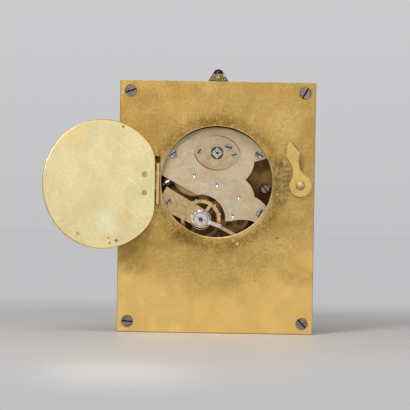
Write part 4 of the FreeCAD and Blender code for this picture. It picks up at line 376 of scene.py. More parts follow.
# %% Stains on the back plate
# Cloud size, its two levels, detail, colour, amount
RIM_COATS = [
    (2.4, 0.2, 0.62, 6.0, (110, 85, 38), 0.66),
    (0.9, 0.46, 0.64, 5.0, (84, 62, 26), 0.4),
    (1.5, 0.54, 0.68, 5.0, (204, 168, 98), 0.35),
]
RIM_DROP = 1.15
RUBBED = [((-14.5, 36.5), 9), ((19.7, 51), (5, 10))]
DAMP_AT, DAMP_SIZE = (-21.6, 51.2), (3.2, 8.4)
DAMP_COATS = [
    (1.6, 0.3, 0.6, 4.0, (104, 86, 46), 0.7),
    (1.2, 0.52, 0.66, 8.0, (180, 172, 138), 0.5),
]


def stains(tree, layer):
    """The brown ring of the shut lid, rubbed through in two places, and damp beside the latch."""
    layer = stain(tree, layer, from_opening(tree, *RINGS["rim"], RIM_DROP), RIM_COATS)
    rubbed = from_opening(tree, *RINGS["rubbed"])
    for at, size in RUBBED:
        near = flat_spot(tree, at, size, 0.5)
        layer = wear(tree, layer, PLATE_GILT["rubbed"], rubbed, near, 0.55)
    return stain(tree, layer, flat_spot(tree, DAMP_AT, DAMP_SIZE, 0.25), DAMP_COATS)


print("stains of", len(RIM_COATS) + len(DAMP_COATS), "coats")

# %% [markdown]
# Over the stains lie small marks: fine mottling, flecks, single spots and scratches. The edges of
# the plate and of its opening get painted highlights, bright lines in place of the glint of a
# bevel, and a painted shadow lies at the latch's tip. An edge is a step close to the plate's half
# width or half height, so it needs no bevel.

# %% Small marks, painted edge highlights and the latch's painted shadow
MOTTLE_SIZE, FLECK_SIZE = 0.8 * MM, 1.0 * MM
# Place, radius, colour
PLATE_SPOTS = [
    ((-6.0, 31.3), 0.3, (206, 190, 92)),
    ((-7.3, 30.2), 0.42, (222, 202, 110)),
    ((-8.4, 29.6), 0.3, (196, 176, 84)),
    ((-6.9, 29.4), 0.35, (96, 78, 34)),
    ((-20.6, 32.3), 0.35, (66, 50, 28)),
    ((14.0, 71.0), 0.25, (110, 86, 46)),
    ((-13.5, 18.0), 0.25, (160, 128, 70)),
    ((-21.5, 57.5), 0.6, (92, 80, 44)),
    ((-20.4, 47.0), 0.5, (176, 168, 116)),
]
# Turn, and the level above which the noise shows
PLATE_SCRATCHES = [(0.5, 0.66), (-0.9, 0.67), (1.45, 0.68)]
SCRATCH_LENGTH, SCRATCH_WIDTH = 9 * MM, 0.35 * MM
# A painted shadow of the latch's tip: place, size across and up, turn
TIP_SHADE_AT, TIP_SHADE_SIZE, TIP_SHADE_TURN = (-25.9, 63.5), (2.9, 0.4), math.radians(-50)
EDGE_FADE, EDGE_FULL = 0.35 * MM, 0.1 * MM


def small_marks(tree, layer, foot):
    """Fine mottling away from the foot, flecks near the opening, single spots and scratches."""
    faint = stretch(tree, foot, 0.0, 1.0, 0.42, 0.1)
    layer = wear(tree, layer, PLATE_GILT["mottle"], clouds(tree, MOTTLE_SIZE, 0.4, 0.7), faint)
    near = from_opening(tree, *RINGS["flecks"])
    flecks = clouds(tree, FLECK_SIZE, 0.52, 0.7)
    layer = wear(tree, layer, PLATE_GILT["fleck"], flecks, near, 0.4)
    for at, radius, shade in PLATE_SPOTS:
        layer = wear(tree, layer, shade, flat_spot(tree, at, radius, 0.4), 0.75)
    for turn, level in PLATE_SCRATCHES:
        line = scratches(tree, SCRATCH_LENGTH, SCRATCH_WIDTH, turn, level)
        layer = wear(tree, layer, PLATE_GILT["scratch"], line, 0.3)
    return layer


def bright_edges(tree, layer):
    """Painted highlights on the edges of plate and opening, and a painted latch-tip shadow."""
    line = from_opening(tree, *RINGS["edge"])
    layer = wear(tree, layer, PLATE_GILT["opening edge highlight"], line)
    tip = flat_spot(tree, TIP_SHADE_AT, TIP_SHADE_SIZE, 0.4, TIP_SHADE_TURN)
    layer = wear(tree, layer, PLATE_GILT["latch tip shadow"], tip, 0.65)
    centre, half = tuple((plate_low + plate_high) / 2), (plate_high - plate_low) / 2
    for way, reach, amount in (("X", half.x, 0.6), ("Z", half.z, 0.5)):
        along = coordinate(tree, way, centre)
        from_middle = add(tree, "Math", {0: along}, operation="ABSOLUTE").outputs["Value"]
        edge = stretch(tree, from_middle, reach - EDGE_FADE, reach - EDGE_FULL)
        layer = wear(tree, layer, PLATE_GILT["outer edge highlight"], edge, amount)
    return layer


print("marks:", len(PLATE_SPOTS), "spots,", len(PLATE_SCRATCHES), "ways of scratches")

# %% [markdown]
# The layers go on in the order in which the wear happened: gilding, stains, small marks, and then
# the painted highlights on the edges. The roughness varies a little too, in larger clouds, and a
# fine grain covers it all.

# %% Back plate finish
# Heights at which the painted floor reflection starts and is full
FOOT_FROM, FOOT_TO = 44 * MM, 20 * MM
ROUGH_SIZE, ROUGH_RANGE = 6 * MM, (0.36, 0.46)


def aged_plate():
    """Gilding, stains, marks, a painted floor reflection at the foot and painted edge highlights.
    """
    made, tree, shader = new_finish("aged_plate", colour(*PLATE_GILT["upper"]), 1.0, 0.4)
    low_down = stretch(tree, coordinate(tree, "Z"), FOOT_FROM, FOOT_TO)
    foot = times(tree, from_opening(tree, *RINGS["foot"]), low_down)
    layer = small_marks(tree, stains(tree, gilding(tree, foot)), foot)
    tree.links.new(bright_edges(tree, layer), shader.inputs["Base Color"])
    rough = stretch(tree, clouds(tree, ROUGH_SIZE), 0.0, 1.0, *ROUGH_RANGE)
    tree.links.new(rough, shader.inputs["Roughness"])
    grain(tree, shader, size=0.5 * MM, depth=0.006 * MM)
    return made


finishes = {"back_plate": aged_plate()}
print("finish:", finishes["back_plate"].name)

# %% [markdown]
# The lid's inner face is paler and cleaner than the plate, with a warmer rim. The lid leans
# away from the plate, so its rim is a circle narrowed by the cosine of that lean. A few pits and
# one small stain sit near its edge. They are single spots at known places, so each is a spot mask
# of its own, kept to the inner face by a step halfway through the lid's thickness.

# %% Lid finish
# Place across and up, radius, colour
LID_PITS = [
    (31.5, 68.8, 0.45, (126, 92, 50)),
    (33.1, 30.8, 0.5, (84, 62, 36)),
    (35.7, 31.6, 0.32, (118, 94, 52)),
    (35.3, 30.0, 0.4, (150, 126, 72)),
    (45.7, 33.0, 0.6, (186, 152, 74)),
]
LID_TINTS = [
    (48.5, 66.0, 4.5, (228, 198, 124)),
    (35.0, 36.5, 3.6, (226, 226, 196)),
    (31.0, 38.0, 3.0, (216, 184, 124)),
    (40.0, 45.0, 4.0, (218, 192, 138)),
]
LID_COATS = [
    (9.0, 0.4, 0.65, 4.0, (199, 184, 132), 0.45),
    (5.0, 0.5, 0.75, 4.0, (222, 194, 134), 0.35),
    (0.9, 0.4, 0.7, 4.0, (190, 176, 124), 0.3),
    (2.6, 0.55, 0.75, 4.0, (234, 226, 190), 0.25),
]
LID_GILT = {"main": (219, 207, 160), "wiped": (240, 230, 196), "rim": (232, 196, 128)}
WIPE_TURNS, WIPE_LEVEL = (0.3, -0.7), 0.67
WIPE_LENGTH, WIPE_WIDTH = 10 * MM, 0.3 * MM
RIM_FROM, RIM_TO = 0.93, 0.985
TINT_SIZE = 2.0 * MM
# Half the width of the step between the lid's two faces, in millimetres
FACE_STEP = 0.1
LID_LEAN = math.radians(24.8)


def pale_lid():
    """Satin gilding with faint clouds, wiping marks, a warm worn rim and single pits."""
    main = colour(*LID_GILT["main"])
    made, tree, shader = new_finish("pale_lid", main, 1.0, 0.42)
    layer = stain(tree, main, 1.0, LID_COATS)
    for turn in WIPE_TURNS:
        line = scratches(tree, WIPE_LENGTH, WIPE_WIDTH, turn, WIPE_LEVEL)
        layer = wear(tree, layer, LID_GILT["wiped"], line, 0.4)
    for x, z, radius, shade in LID_TINTS:
        tint = flat_spot(tree, (x, z), radius, 0.6)
        layer = wear(tree, layer, shade, tint, clouds(tree, TINT_SIZE, 0.2, 0.6), 0.5)
    low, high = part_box("lid_disc")
    reach = (high.z - low.z) / 2
    across = reach * math.cos(LID_LEAN)
    centre = (high.x - across, 0.0, (high.z + low.z) / 2)
    rim = stretch(tree, distance(tree, centre, (across, 1.0, reach)), RIM_FROM, RIM_TO)
    layer = wear(tree, layer, LID_GILT["rim"], rim, 0.42)
    through = coordinate(tree, "Y", middle("lid_disc"), (MM, MM, MM), (0, 0, LID_LEAN))
    inner = stretch(tree, through, -FACE_STEP, FACE_STEP)
    for x, z, radius, shade in LID_PITS:
        layer = wear(tree, layer, shade, flat_spot(tree, (x, z), radius, 0.5), inner, 0.85)
    tree.links.new(layer, shader.inputs["Base Color"])
    grain(tree, shader, size=0.45 * MM, depth=0.004 * MM)
    return made


finishes["lid_disc"] = pale_lid()
print("lid finish with", len(LID_PITS), "pits")

# %% [markdown]
# The other metals share one recipe: a main colour, a darker tarnish in clouds, paler wipe marks
# and a little grain. Only the colours, the roughness and the size of the clouds change from metal
# to metal, so one function makes them all.

# %% The other metals
# Sizes of wipe marks and of rough patches, as shares of the tarnish clouds' size
WIPED_SHARE, PATCH_SHARE = 0.6, 0.8
# Least and most roughness, as shares of the metal's own
SMOOTHER, ROUGHER = 0.85, 1.2
METAL_GRAIN = 0.3 * MM


def worn_metal(name, main, tarnish, wiped, roughness, size=2.5, amount=0.5, depth=0.003):
    """A metal of one colour with tarnish in clouds of a size in millimetres, and wipe marks."""
    made, tree, shader = new_finish(name, colour(*main), 1.0, roughness)
    layer = wear(tree, colour(*main), tarnish, clouds(tree, size * MM), amount)
    layer = wear(tree, layer, wiped, clouds(tree, WIPED_SHARE * size * MM, 0.55, 0.72), amount)
    tree.links.new(layer, shader.inputs["Base Color"])
    patches = clouds(tree, PATCH_SHARE * size * MM)
    rough = stretch(tree, patches, 0.0, 1.0, roughness * SMOOTHER, roughness * ROUGHER)
    tree.links.new(rough, shader.inputs["Roughness"])
    grain(tree, shader, METAL_GRAIN, depth * MM)
    return made


case_gilt = worn_metal("case_gilt", (216, 184, 120), (180, 146, 84), (232, 204, 146), 0.44, 6)
bright_gilt = worn_metal("bright_gilt", (206, 172, 104), (178, 143, 79), (230, 201, 138), 0.3, 3)
hinge_gilt = worn_metal("hinge_gilt", (210, 177, 120), (172, 138, 86), (230, 202, 150), 0.32, 1.5)
crown_gilt = worn_metal("crown_gilt", (140, 122, 84), (104, 86, 54), (170, 150, 106), 0.34, 1.0)
rivet_gilt = worn_metal("rivet_gilt", (165, 150, 100), (140, 124, 78), (186, 172, 124), 0.4, 1.0)
stud_gilt = worn_metal("stud_gilt", (186, 162, 114), (146, 118, 72), (206, 186, 140), 0.55, 1.0)
cap_nickel = worn_metal("cap_nickel", (178, 156, 126), (156, 133, 103), (196, 178, 150), 0.36, 2.2)
cock_brass = worn_metal("cock_brass", (186, 160, 116), (146, 118, 78), (216, 192, 148), 0.3, 1.4)
# Dark brass for parts deep in the movement: the darkness is a painted shade
DEEP_TONES = (104, 80, 48), (58, 38, 20), (122, 98, 62)
deep_brass = worn_metal("deep_brass", *DEEP_TONES, 0.5, 4.0)
# Wheel brass twice: dark as painted shade deep down, lighter as painted light in the gap
wheel_brass = worn_metal("wheel_brass", (112, 86, 50), (74, 54, 30), (146, 116, 72), 0.34, 2.0)
lit_wheel_brass = worn_metal("lit_wheel_brass", (160, 130, 88), (122, 94, 58), (182, 152, 108), 0.3, 1.5)
dark_steel = worn_metal("dark_steel", (74, 68, 62), (44, 38, 32), (104, 98, 92), 0.4, 1.2)
polished_steel = worn_metal(
    "polished_steel", (196, 190, 185), (156, 148, 142), (220, 217, 214), 0.2, 1.0, 0.4, 0.001
)
blued_steel = worn_metal(
    "blued_steel", (52, 64, 122), (38, 40, 84), (84, 100, 160), 0.24, 2.0, 0.4, 0.001
)
print("metals:", ", ".join(sorted(item.name for item in bpy.data.materials)))

# %% [markdown]
# Four pieces need more than one metal's recipe. The first is the three-quarter plate. Its colour
# is darker under the edge of the opening and toward its top, a painted shadow of that edge, and
# dark along the outline of the oval cap, a painted contact shadow. That outline is two arcs, so
# the line is where two discs overlap, and a third disc cuts its length.

# %% Three-quarter plate
CAP_ARC = 8.0
CAP_HALF_WIDTH, CAP_HALF_LENGTH = 5.65, 7.65
# The painted contact shadow round the oval cap: its width in mm, and its softness
CAP_SHADOW_LINE, CAP_SHADOW_SOFT = 0.22, 0.015
CAP_TILT = math.radians(4)
# Painted shade: a ring under the opening's edge, and a step toward the plate's top
SHADE_RING = (16.8, 24, 1.6)
TOP_FROM, TOP_TO = 60 * MM, 69 * MM
NICKEL = {
    "main": (188, 174, 147),
    "shade": (118, 96, 66),
    "top": (128, 106, 78),
    # The line round the cap is a painted contact shadow
    "dirt_and_shade": (66, 52, 36),
}
NICKEL_COATS = [
    (4.5, 0.4, 0.65, 4.0, (168, 148, 118), 0.5),
    (2.2, 0.52, 0.7, 4.0, (204, 194, 170), 0.4),
    (7.0, 0.42, 0.62, 4.0, (186, 152, 112), 0.45),
    (0.6, 0.45, 0.7, 4.0, (150, 132, 104), 0.3),
]


def frosted_plate():
    """Frosted nickel, with painted shade under the opening's edge and round the oval cap."""
    main = colour(*NICKEL["main"])
    made, tree, shader = new_finish("frosted_plate", main, 1.0, 0.42)
    layer = stain(tree, main, 1.0, NICKEL_COATS)
    layer = wear(tree, layer, NICKEL["shade"], from_opening(tree, *SHADE_RING), 0.28)
    top = stretch(tree, coordinate(tree, "Z"), TOP_FROM, TOP_TO)
    layer = wear(tree, layer, NICKEL["top"], top, 0.5)
    centre = middle("barrel_cap")
    lean = (CAP_ARC - CAP_HALF_WIDTH) * MM
    line = spot(tree, centre, (CAP_HALF_LENGTH + CAP_SHADOW_LINE) * MM, CAP_SHADOW_SOFT)
    for side in (1, -1):
        across, up = side * lean * math.sin(CAP_TILT), side * lean * math.cos(CAP_TILT)
        at = (centre[0] + across, centre[1], centre[2] + up)
        line = times(tree, line, spot(tree, at, (CAP_ARC + CAP_SHADOW_LINE) * MM, CAP_SHADOW_SOFT))
    layer = wear(tree, layer, NICKEL["dirt_and_shade"], line, 0.85)
    tree.links.new(layer, shader.inputs["Base Color"])
    grain(tree, shader, size=0.25 * MM, depth=0.004 * MM)
    return made


frosted_nickel = frosted_plate()
print("finish:", frosted_nickel.name)

# %% [markdown]
# The pillar plate lies deep in the movement, and its dark brass is a painted shade. Round two
# screws it is darker still, more painted shade. On the side of the latch it turns from brown,
# painted lighter against the shadow of the opening's rim, to a deep red below the screw there. It
# starts as a worn metal, and the other tones cover it.

# %% Pillar plate
# Painted shade round two screws: place and size
HINGE_SHADE_AT, HINGE_SHADE_SIZE = (17.0 * MM, 0.0, 50.4 * MM), (2.6 * MM, 1.0, 2.2 * MM)
LATCH_SHADE_AT, LATCH_SHADE_SIZE = (-16.6 * MM, 0.0, 48.8 * MM), (2.5 * MM, 1.0, 2.1 * MM)
LATCH_SIDE_FROM, LATCH_SIDE_TO = -8 * MM, -12 * MM
BROWN_FROM, BROWN_TO = 47 * MM, 53 * MM
RED_FROM, RED_TO = 50 * MM, 46 * MM
DEEP = {
    "hinge screw shade": (26, 16, 8),
    "latch screw shade": (30, 15, 7),
    # The brown is lighter than the plate, a painted light against the rim's shadow
    "brown": (132, 101, 60),
    "red": (56, 24, 8),
}


def deep_plate():
    """Dark brass as painted shade, darker round two screws, lighter to deep red by the latch."""
    made = worn_metal("deep_plate", *DEEP_TONES, 0.5, 4.0)
    tree = made.node_tree
    hinge_screw_shade = spot(tree, HINGE_SHADE_AT, HINGE_SHADE_SIZE, 0.4)
    cover(made, colour(*DEEP["hinge screw shade"]), times(tree, hinge_screw_shade, 0.85))
    latch_side = stretch(tree, coordinate(tree, "X"), LATCH_SIDE_FROM, LATCH_SIDE_TO)
    brown = stretch(tree, coordinate(tree, "Z"), BROWN_FROM, BROWN_TO)
    cover(made, colour(*DEEP["brown"]), times(tree, latch_side, brown, 0.85))
    red = stretch(tree, coordinate(tree, "Z"), RED_FROM, RED_TO)
    cover(made, colour(*DEEP["red"]), times(tree, latch_side, red, 0.8))
    latch_screw_shade = spot(tree, LATCH_SHADE_AT, LATCH_SHADE_SIZE, 0.35)
    cover(made, colour(*DEEP["latch screw shade"]), times(tree, latch_screw_shade, 0.75))
    return made


finishes["pillar_plate"] = deep_plate()
print("finish:", finishes["pillar_plate"].name)

# %% [markdown]
# The regulator is polished steel at its ring, near-white there partly as a painted highlight, and
# warmer along its arms. The balance is rose gilt above its axis, with a painted shade below it.
# The tones of both are placed from the balance's axis, which is the middle of the end cap and of
# the wheel.

# %% Regulator and balance
REGULATOR = {
    # The ring's near-white is partly a painted highlight on polished steel
    "ring": (222, 220, 224),
    "arms": (176, 144, 120),
    "shade": (110, 92, 78),
    "tail": (196, 188, 180),
}
# The ring's radius in widths of the end cap, and where the tail's tone starts and is full
RING_SHARE, TAIL_FROM, TAIL_TO = 0.72, -1.5, -3.0
BALANCE_GILT = colour(208, 172, 128)
# The dark below the balance's axis is a painted shade
BALANCE_TARNISH, BALANCE_SHADE = (152, 116, 78), (66, 44, 26)
BALANCE_SHADE_FROM, BALANCE_SHADE_TO = 0.5, -2.5


def regulator_steel():
    """Near-white steel at the ring, partly a painted highlight, and warm steel along the arms."""
    made, tree, shader = new_finish("regulator_steel", colour(150, 148, 150), 1.0, 0.14)
    low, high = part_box("end_cap")
    near = spot(tree, middle("end_cap"), (high.x - low.x) * RING_SHARE, 0.04)
    layer = over(tree, colour(*REGULATOR["arms"]), colour(*REGULATOR["ring"]), near)
    layer = wear(tree, layer, REGULATOR["shade"], clouds(tree, 1.2 * MM), 0.3)
    across = coordinate(tree, "X", middle("end_cap"), (MM, MM, MM))
    tail = stretch(tree, across, TAIL_FROM, TAIL_TO)
    layer = wear(tree, layer, REGULATOR["tail"], tail, 0.6)
    tree.links.new(layer, shader.inputs["Base Color"])
    return made


def balance_gold():
    """Rose gilding on the side toward the plates, with a painted shade on the side below the axis.
    """
    made, tree, shader = new_finish("balance_gold", BALANCE_GILT, 1.0, 0.26)
    layer = wear(tree, BALANCE_GILT, BALANCE_TARNISH, clouds(tree, 1.6 * MM), 0.6)
    height = coordinate(tree, "Z", middle("balance_wheel"), (MM, MM, MM))
    layer = wear(tree, layer, BALANCE_SHADE, stretch(tree, height, BALANCE_SHADE_FROM, BALANCE_SHADE_TO), 0.9)
    tree.links.new(layer, shader.inputs["Base Color"])
    return made


finishes["regulator"] = regulator_steel()
finishes["balance_wheel"] = balance_gold()
print("finishes:", finishes["regulator"].name, finishes["balance_wheel"].name)

# %% [markdown]
# A screw head is bright on its worn top only. Its sides and its slot hold old dirt. All heads of
# one node stand at one level, the top of the node's box, so a step along Y just below that level
# parts the clean steel from the dirt. Of the two screws deep in the opening, the one beside the
# hinge is darkened as a painted shade, but for one long painted glint.

# %% Screws with dirty slots
CLEAN_DEPTH = 0.05 * MM
CLEAN_ROUGH, DIRT_ROUGH = 0.28, 0.7
# What the clean steel and its worn spots add to a screw's grey
STEEL_TINT, WORN_TINT = (8, 0, -9), (62, 57, 50)
SCREW_STAIN, SCREW_DIRT = (82, 74, 64), (30, 25, 20)
# Painted shade on the deep screw beside the hinge, and a painted glint on it
DIM_STEEL, DIM_TO = (40, 26, 16), 10 * MM
GLINT_STEEL, GLINT_SHINE = (240, 232, 236), 0.2
GLINT_AT, GLINT_SIZE = (16.7 * MM, 0.0, 50.9 * MM), (0.95 * MM, 1.0, 0.32 * MM)
GLINT_TURN = math.radians(30)


def dirty_screw(node, grey):
    """Worn steel of a grey above a level, dark dirt below it."""
    main = colour(*(grey + tint for tint in STEEL_TINT))
    made, tree, shader = new_finish("screw_" + node, main, 1.0, CLEAN_ROUGH)
    layer = wear(tree, main, SCREW_STAIN, clouds(tree, 0.9 * MM), 0.6)
    worn = [grey + tint for tint in WORN_TINT]
    layer = wear(tree, layer, worn, clouds(tree, 0.8 * MM, 0.5, 0.7), 0.6)
    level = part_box(node)[1].y - CLEAN_DEPTH
    dirt_and_shade = stretch(tree, coordinate(tree, "Y"), level - CLEAN_DEPTH, level, 1.0, 0.0)
    tree.links.new(wear(tree, layer, SCREW_DIRT, dirt_and_shade), shader.inputs["Base Color"])
    rough = stretch(tree, dirt_and_shade, 0.0, 1.0, CLEAN_ROUGH, DIRT_ROUGH)
    tree.links.new(rough, shader.inputs["Roughness"])
    return made


def dim_by_hinge(finish):
    """Darken the deep screw by the hinge as painted shade, and paint one long smooth glint on it.
    """
    tree = finish.node_tree
    hinge_side = stretch(tree, coordinate(tree, "X"), 0.0, DIM_TO)
    cover(finish, colour(*DIM_STEEL), times(tree, hinge_side, 0.75))
    glint = spot(tree, GLINT_AT, GLINT_SIZE, 0.35, GLINT_TURN)
    cover(finish, colour(*GLINT_STEEL), glint)
    roughness = tree.nodes["Principled BSDF"].inputs["Roughness"]
    shine = stretch(tree, glint, 0.0, 1.0, 1.0, GLINT_SHINE)
    tree.links.new(times(tree, roughness.links[0].from_socket, shine), roughness)


# Node, and the grey of its steel
SLOTTED = {
    "back_plate_screws": 122,
    "plate_screws": 142,
    "barrel_cap_screws": 142,
    "cock_screw": 134,
    "dial_dog_screws": 112,
    "barrel_arbor": 168,
    "click_screw": 142,
}
finishes.update({name: dirty_screw(name, grey) for name, grey in SLOTTED.items()})
dim_by_hinge(finishes["dial_dog_screws"])
print("dirt in the slots of", ", ".join(SLOTTED))

# %% [markdown]
# The rest is stone, enamel and glass. The crown's cabochon and the jewel are dark and polished,
# the panel round the dial is deep blue enamel under a clear coat, the dial is white enamel, and
# the glass over it is clear.

# %% Stone, enamel and glass
STONE_CLOUD, ENAMEL_CLOUD = 1.2 * MM, 5 * MM
DIAL_THICK = 0.7 * MM
COPPER, COPPER_FADE = (92, 62, 40), 0.05 * MM


def polished_stone(name, body, deep):
    """A dark polished stone: two tones in slow clouds under a hard gloss."""
    made, tree, shader = new_finish(name, body, 0.0, 0.06)
    layer = over(tree, body, deep, clouds(tree, STONE_CLOUD))
    tree.links.new(layer, shader.inputs["Base Color"])
    shader.inputs["Specular IOR Level"].default_value = 0.3
    return made


def fired_enamel(name, body, shade, roughness):
    """Glassy enamel: a colour with faint clouds under a clear coat."""
    made, tree, shader = new_finish(name, body, 0.0, roughness)
    layer = over(tree, body, shade, times(tree, clouds(tree, ENAMEL_CLOUD), 0.5))
    tree.links.new(layer, shader.inputs["Base Color"])
    shader.inputs["Coat Weight"].default_value = 0.7
    shader.inputs["Coat Roughness"].default_value = 0.05
    return made


def bare_copper(finish, level):
    """Let enamel give way to bare copper past a level along Y, on the back and the feet."""
    tree = finish.node_tree
    past = stretch(tree, coordinate(tree, "Y"), level - COPPER_FADE, level)
    cover(finish, colour(*COPPER), past)


cabochon_stone = polished_stone("cabochon_stone", colour(26, 16, 58), colour(16, 8, 34))
ruby = polished_stone("ruby", colour(96, 40, 44), colour(58, 16, 24))
panel_enamel = fired_enamel("panel_enamel", colour(30, 40, 88), colour(22, 28, 70), 0.25)
dial_enamel = fired_enamel("dial_enamel", colour(236, 233, 224), colour(228, 223, 210), 0.3)
bare_copper(dial_enamel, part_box("dial")[0].y + DIAL_THICK)
dial_paint, _, _ = new_finish("dial_paint", colour(26, 26, 30), 0.0, 0.45)
clear_glass, _, glass_shader = new_finish("clear_glass", (1, 1, 1, 1), 0.0, 0.02)
glass_shader.inputs["Transmission Weight"].default_value = 1.0
glass_shader.inputs["IOR"].default_value = 1.5
print("stone, enamel, glass ready")

# %% [markdown]
# Now every CAD node gets its finish. A table of finish to node names is easier to check than many
# single lines, and the count at the end shows that no piece was missed.

# %% Put the finishes on
WORN_BY = {
    case_gilt: "case_frame movement_ring",
    bright_gilt: "latch latch_collar bezel",
    stud_gilt: "latch_rivet",
    hinge_gilt: "hinge_plate_leaf lid_leaf hinge_pin",
    crown_gilt: "crown_shell",
    rivet_gilt: "lid_rivets",
    frosted_nickel: "three_quarter_plate",
    cap_nickel: "barrel_cap",
    cock_brass: "balance_cock side_cock",
    deep_brass: "pillars pallet_cock",
    wheel_brass: "barrel barrel_lid centre_wheel third_wheel fourth_wheel minute_wheel hour_wheel",
    lit_wheel_brass: "intermediate_wheel",
    dark_steel: "ratchet_wheel click escape_wheel pallet_fork case_screws stem_tube stem_bush "
    "winding_stem winding_pinion hairspring_stud",
    polished_steel: "pivot_cups end_cap balance_staff cannon_pinion",
    blued_steel: "hour_hand minute_hand hairspring mainspring",
    cabochon_stone: "crown_cabochon",
    ruby: "end_jewel",
    panel_enamel: "front_panel",
    dial_enamel: "dial",
    clear_glass: "crystal",
}
finishes.update({name: finish for finish, names in WORN_BY.items() for name in names.split()})
for name, piece in nodes.items():
    piece.data.materials.clear()
    piece.data.materials.append(finishes[name])
print(len(finishes), "of", len(nodes), "nodes have a finish")

# %% [markdown]
# The dial's printing is paint, a few hundredths of a millimetre thick, so it is new geometry on
# the dial's front. The hour numerals are Roman, turned so that their feet point to the centre.
# Each letter is a few straight strokes, and a stroke is a four-cornered prism, so all strokes fit
# in one array.

# %% Numerals on the dial
dial_low, dial_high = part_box("dial")
dial_front = dial_low.y
dial_centre = (dial_low.z + dial_high.z) / 2
PAINT = 0.03 * MM
THICK, THIN = 0.17, 0.07
# A letter's width and its strokes: where the top is, where the foot is, and how thick
LETTERS = {
    "I": (0.36, [(0.18, 0.18, THICK)]),
    "V": (0.74, [(0.12, 0.37, THICK), (0.62, 0.37, THIN)]),
    "X": (0.74, [(0.12, 0.62, THICK), (0.62, 0.12, THIN)]),
}
HOURS = ["XII", "I", "II", "III", "IIII", "V", "VI", "VII", "VIII", "IX", "X", "XI"]
NUMERAL_HEIGHT = 3.5 * MM
NUMERAL_MIDDLE = 14.4 * MM


def numeral_strokes(word):
    """Corners of a word's strokes: each leans from its top to its foot over unit height."""
    corners = []
    left = -sum(LETTERS[letter][0] for letter in word) / 2
    for letter in word:
        width, strokes = LETTERS[letter]
        for top, low, wide in strokes:
            head, foot, half = left + top, left + low, wide / 2
            upper = [(head - half, 0.5), (head + half, 0.5)]
            corners.append(upper + [(foot + half, -0.5), (foot - half, -0.5)])
        left += width
    return np.array(corners)


def turned(corners, hour):
    """Corners carried out along the hour's direction and turned with it, clockwise from XII."""
    angle = hour * 2 * math.pi / len(HOURS)
    along = np.array([math.cos(angle), -math.sin(angle)])
    outward = np.array([math.sin(angle), math.cos(angle)])
    across, up = corners[..., :1] * NUMERAL_HEIGHT, corners[..., 1:] * NUMERAL_HEIGHT
    return across * along + (up + NUMERAL_MIDDLE) * outward


def built(name, points, faces):
    """One mesh object at the origin from an array of points and an array of faces."""
    mesh = bpy.data.meshes.new(name)
    mesh.from_pydata(points.tolist(), [], faces.tolist())
    mesh.validate()
    piece = bpy.data.objects.new(name, mesh)
    scene.collection.objects.link(piece)
    return piece


def prisms(name, corners):
    """Prisms on the dial: four corners each, on its face and again one paint's height before."""
    count = len(corners)
    flat = np.repeat(corners[:, None], 2, axis=1)
    points = np.empty((count, 2, 4, 3))
    points[..., 0] = flat[..., 0]
    points[..., 1] = dial_front - np.array([0.0, PAINT])[None, :, None]
    points[..., 2] = flat[..., 1] + dial_centre
    ends = [[0, 1, 2, 3], [7, 6, 5, 4]]
    around = [[4, 5, 1, 0], [5, 6, 2, 1], [6, 7, 3, 2], [7, 4, 0, 3]]
    faces = (np.arange(count)[:, None, None] * 8 + np.array(ends + around)).reshape(-1, 4)
    return built(name, points.reshape(-1, 3), faces)


strokes = [turned(numeral_strokes(word), hour) for hour, word in enumerate(HOURS)]
numerals = prisms("dial_numerals", np.concatenate(strokes))
numerals.data.materials.append(dial_paint)
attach(numerals, "case")
print("numerals:", len(numerals.data.polygons), "faces")

# %% [markdown]
# A minute track runs outside the numerals: two fine circles with a tick for each minute between
# them, heavier at the hours. A circle is a small four-cornered profile carried round a path, and
# the ticks are prisms like the numerals' strokes.

# %% Minute track on the dial
TRACK_IN, TRACK_OUT = 17.0 * MM, 17.8 * MM
LINE = 0.09 * MM
CIRCLE_STEPS = 180
MINUTES, HOUR_TICK = 60, 2.6


def circle_line(name, radius):
    """A rectangle, one line wide and one paint high, carried round the dial's centre."""
    angle = np.linspace(0, 2 * np.pi, CIRCLE_STEPS, endpoint=False)
    reach = radius + np.array([-0.5, 0.5, 0.5, -0.5]) * LINE
    depth = dial_front - np.array([0.0, 0.0, 1.0, 1.0]) * PAINT
    points = np.empty((CIRCLE_STEPS, 4, 3))
    points[..., 0] = np.sin(angle)[:, None] * reach
    points[..., 1] = depth
    points[..., 2] = np.cos(angle)[:, None] * reach + dial_centre
    number = np.arange(CIRCLE_STEPS * 4).reshape(CIRCLE_STEPS, 4)
    ahead = np.roll(number, -1, axis=0)
    beside, both = np.roll(number, -1, axis=1), np.roll(ahead, -1, axis=1)
    faces = np.stack([number, beside, both, ahead], axis=-1)
    return built(name, points.reshape(-1, 3), faces.reshape(-1, 4))


minute = np.arange(MINUTES) * 2 * math.pi / MINUTES
heavy = np.where(np.arange(MINUTES) % 5 == 0, HOUR_TICK, 1.0)[:, None] * LINE / 2
side = np.stack([np.cos(minute), -np.sin(minute)], axis=-1)
outward = np.stack([np.sin(minute), np.cos(minute)], axis=-1)
tick_corners = np.stack(
    [
        outward * TRACK_OUT - side * heavy,
        outward * TRACK_OUT + side * heavy,
        outward * TRACK_IN + side * heavy,
        outward * TRACK_IN - side * heavy,
    ],
    axis=1,
)
track = [
    prisms("minute_ticks", tick_corners),
    circle_line("track_inner_line", TRACK_IN),
    circle_line("track_outer_line", TRACK_OUT),
]
for piece in track:
    piece.data.materials.append(dial_paint)
    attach(piece, "case")
print("minute track of", len(track), "pieces")

# %% [markdown]
# The floor is one large pale sheet. Close to the clock it is lit and takes the clock's shadow;
# farther off it fades into the backdrop's colour, so that no horizon shows. The fade follows the
# distance from the clock, read from Object coordinates.

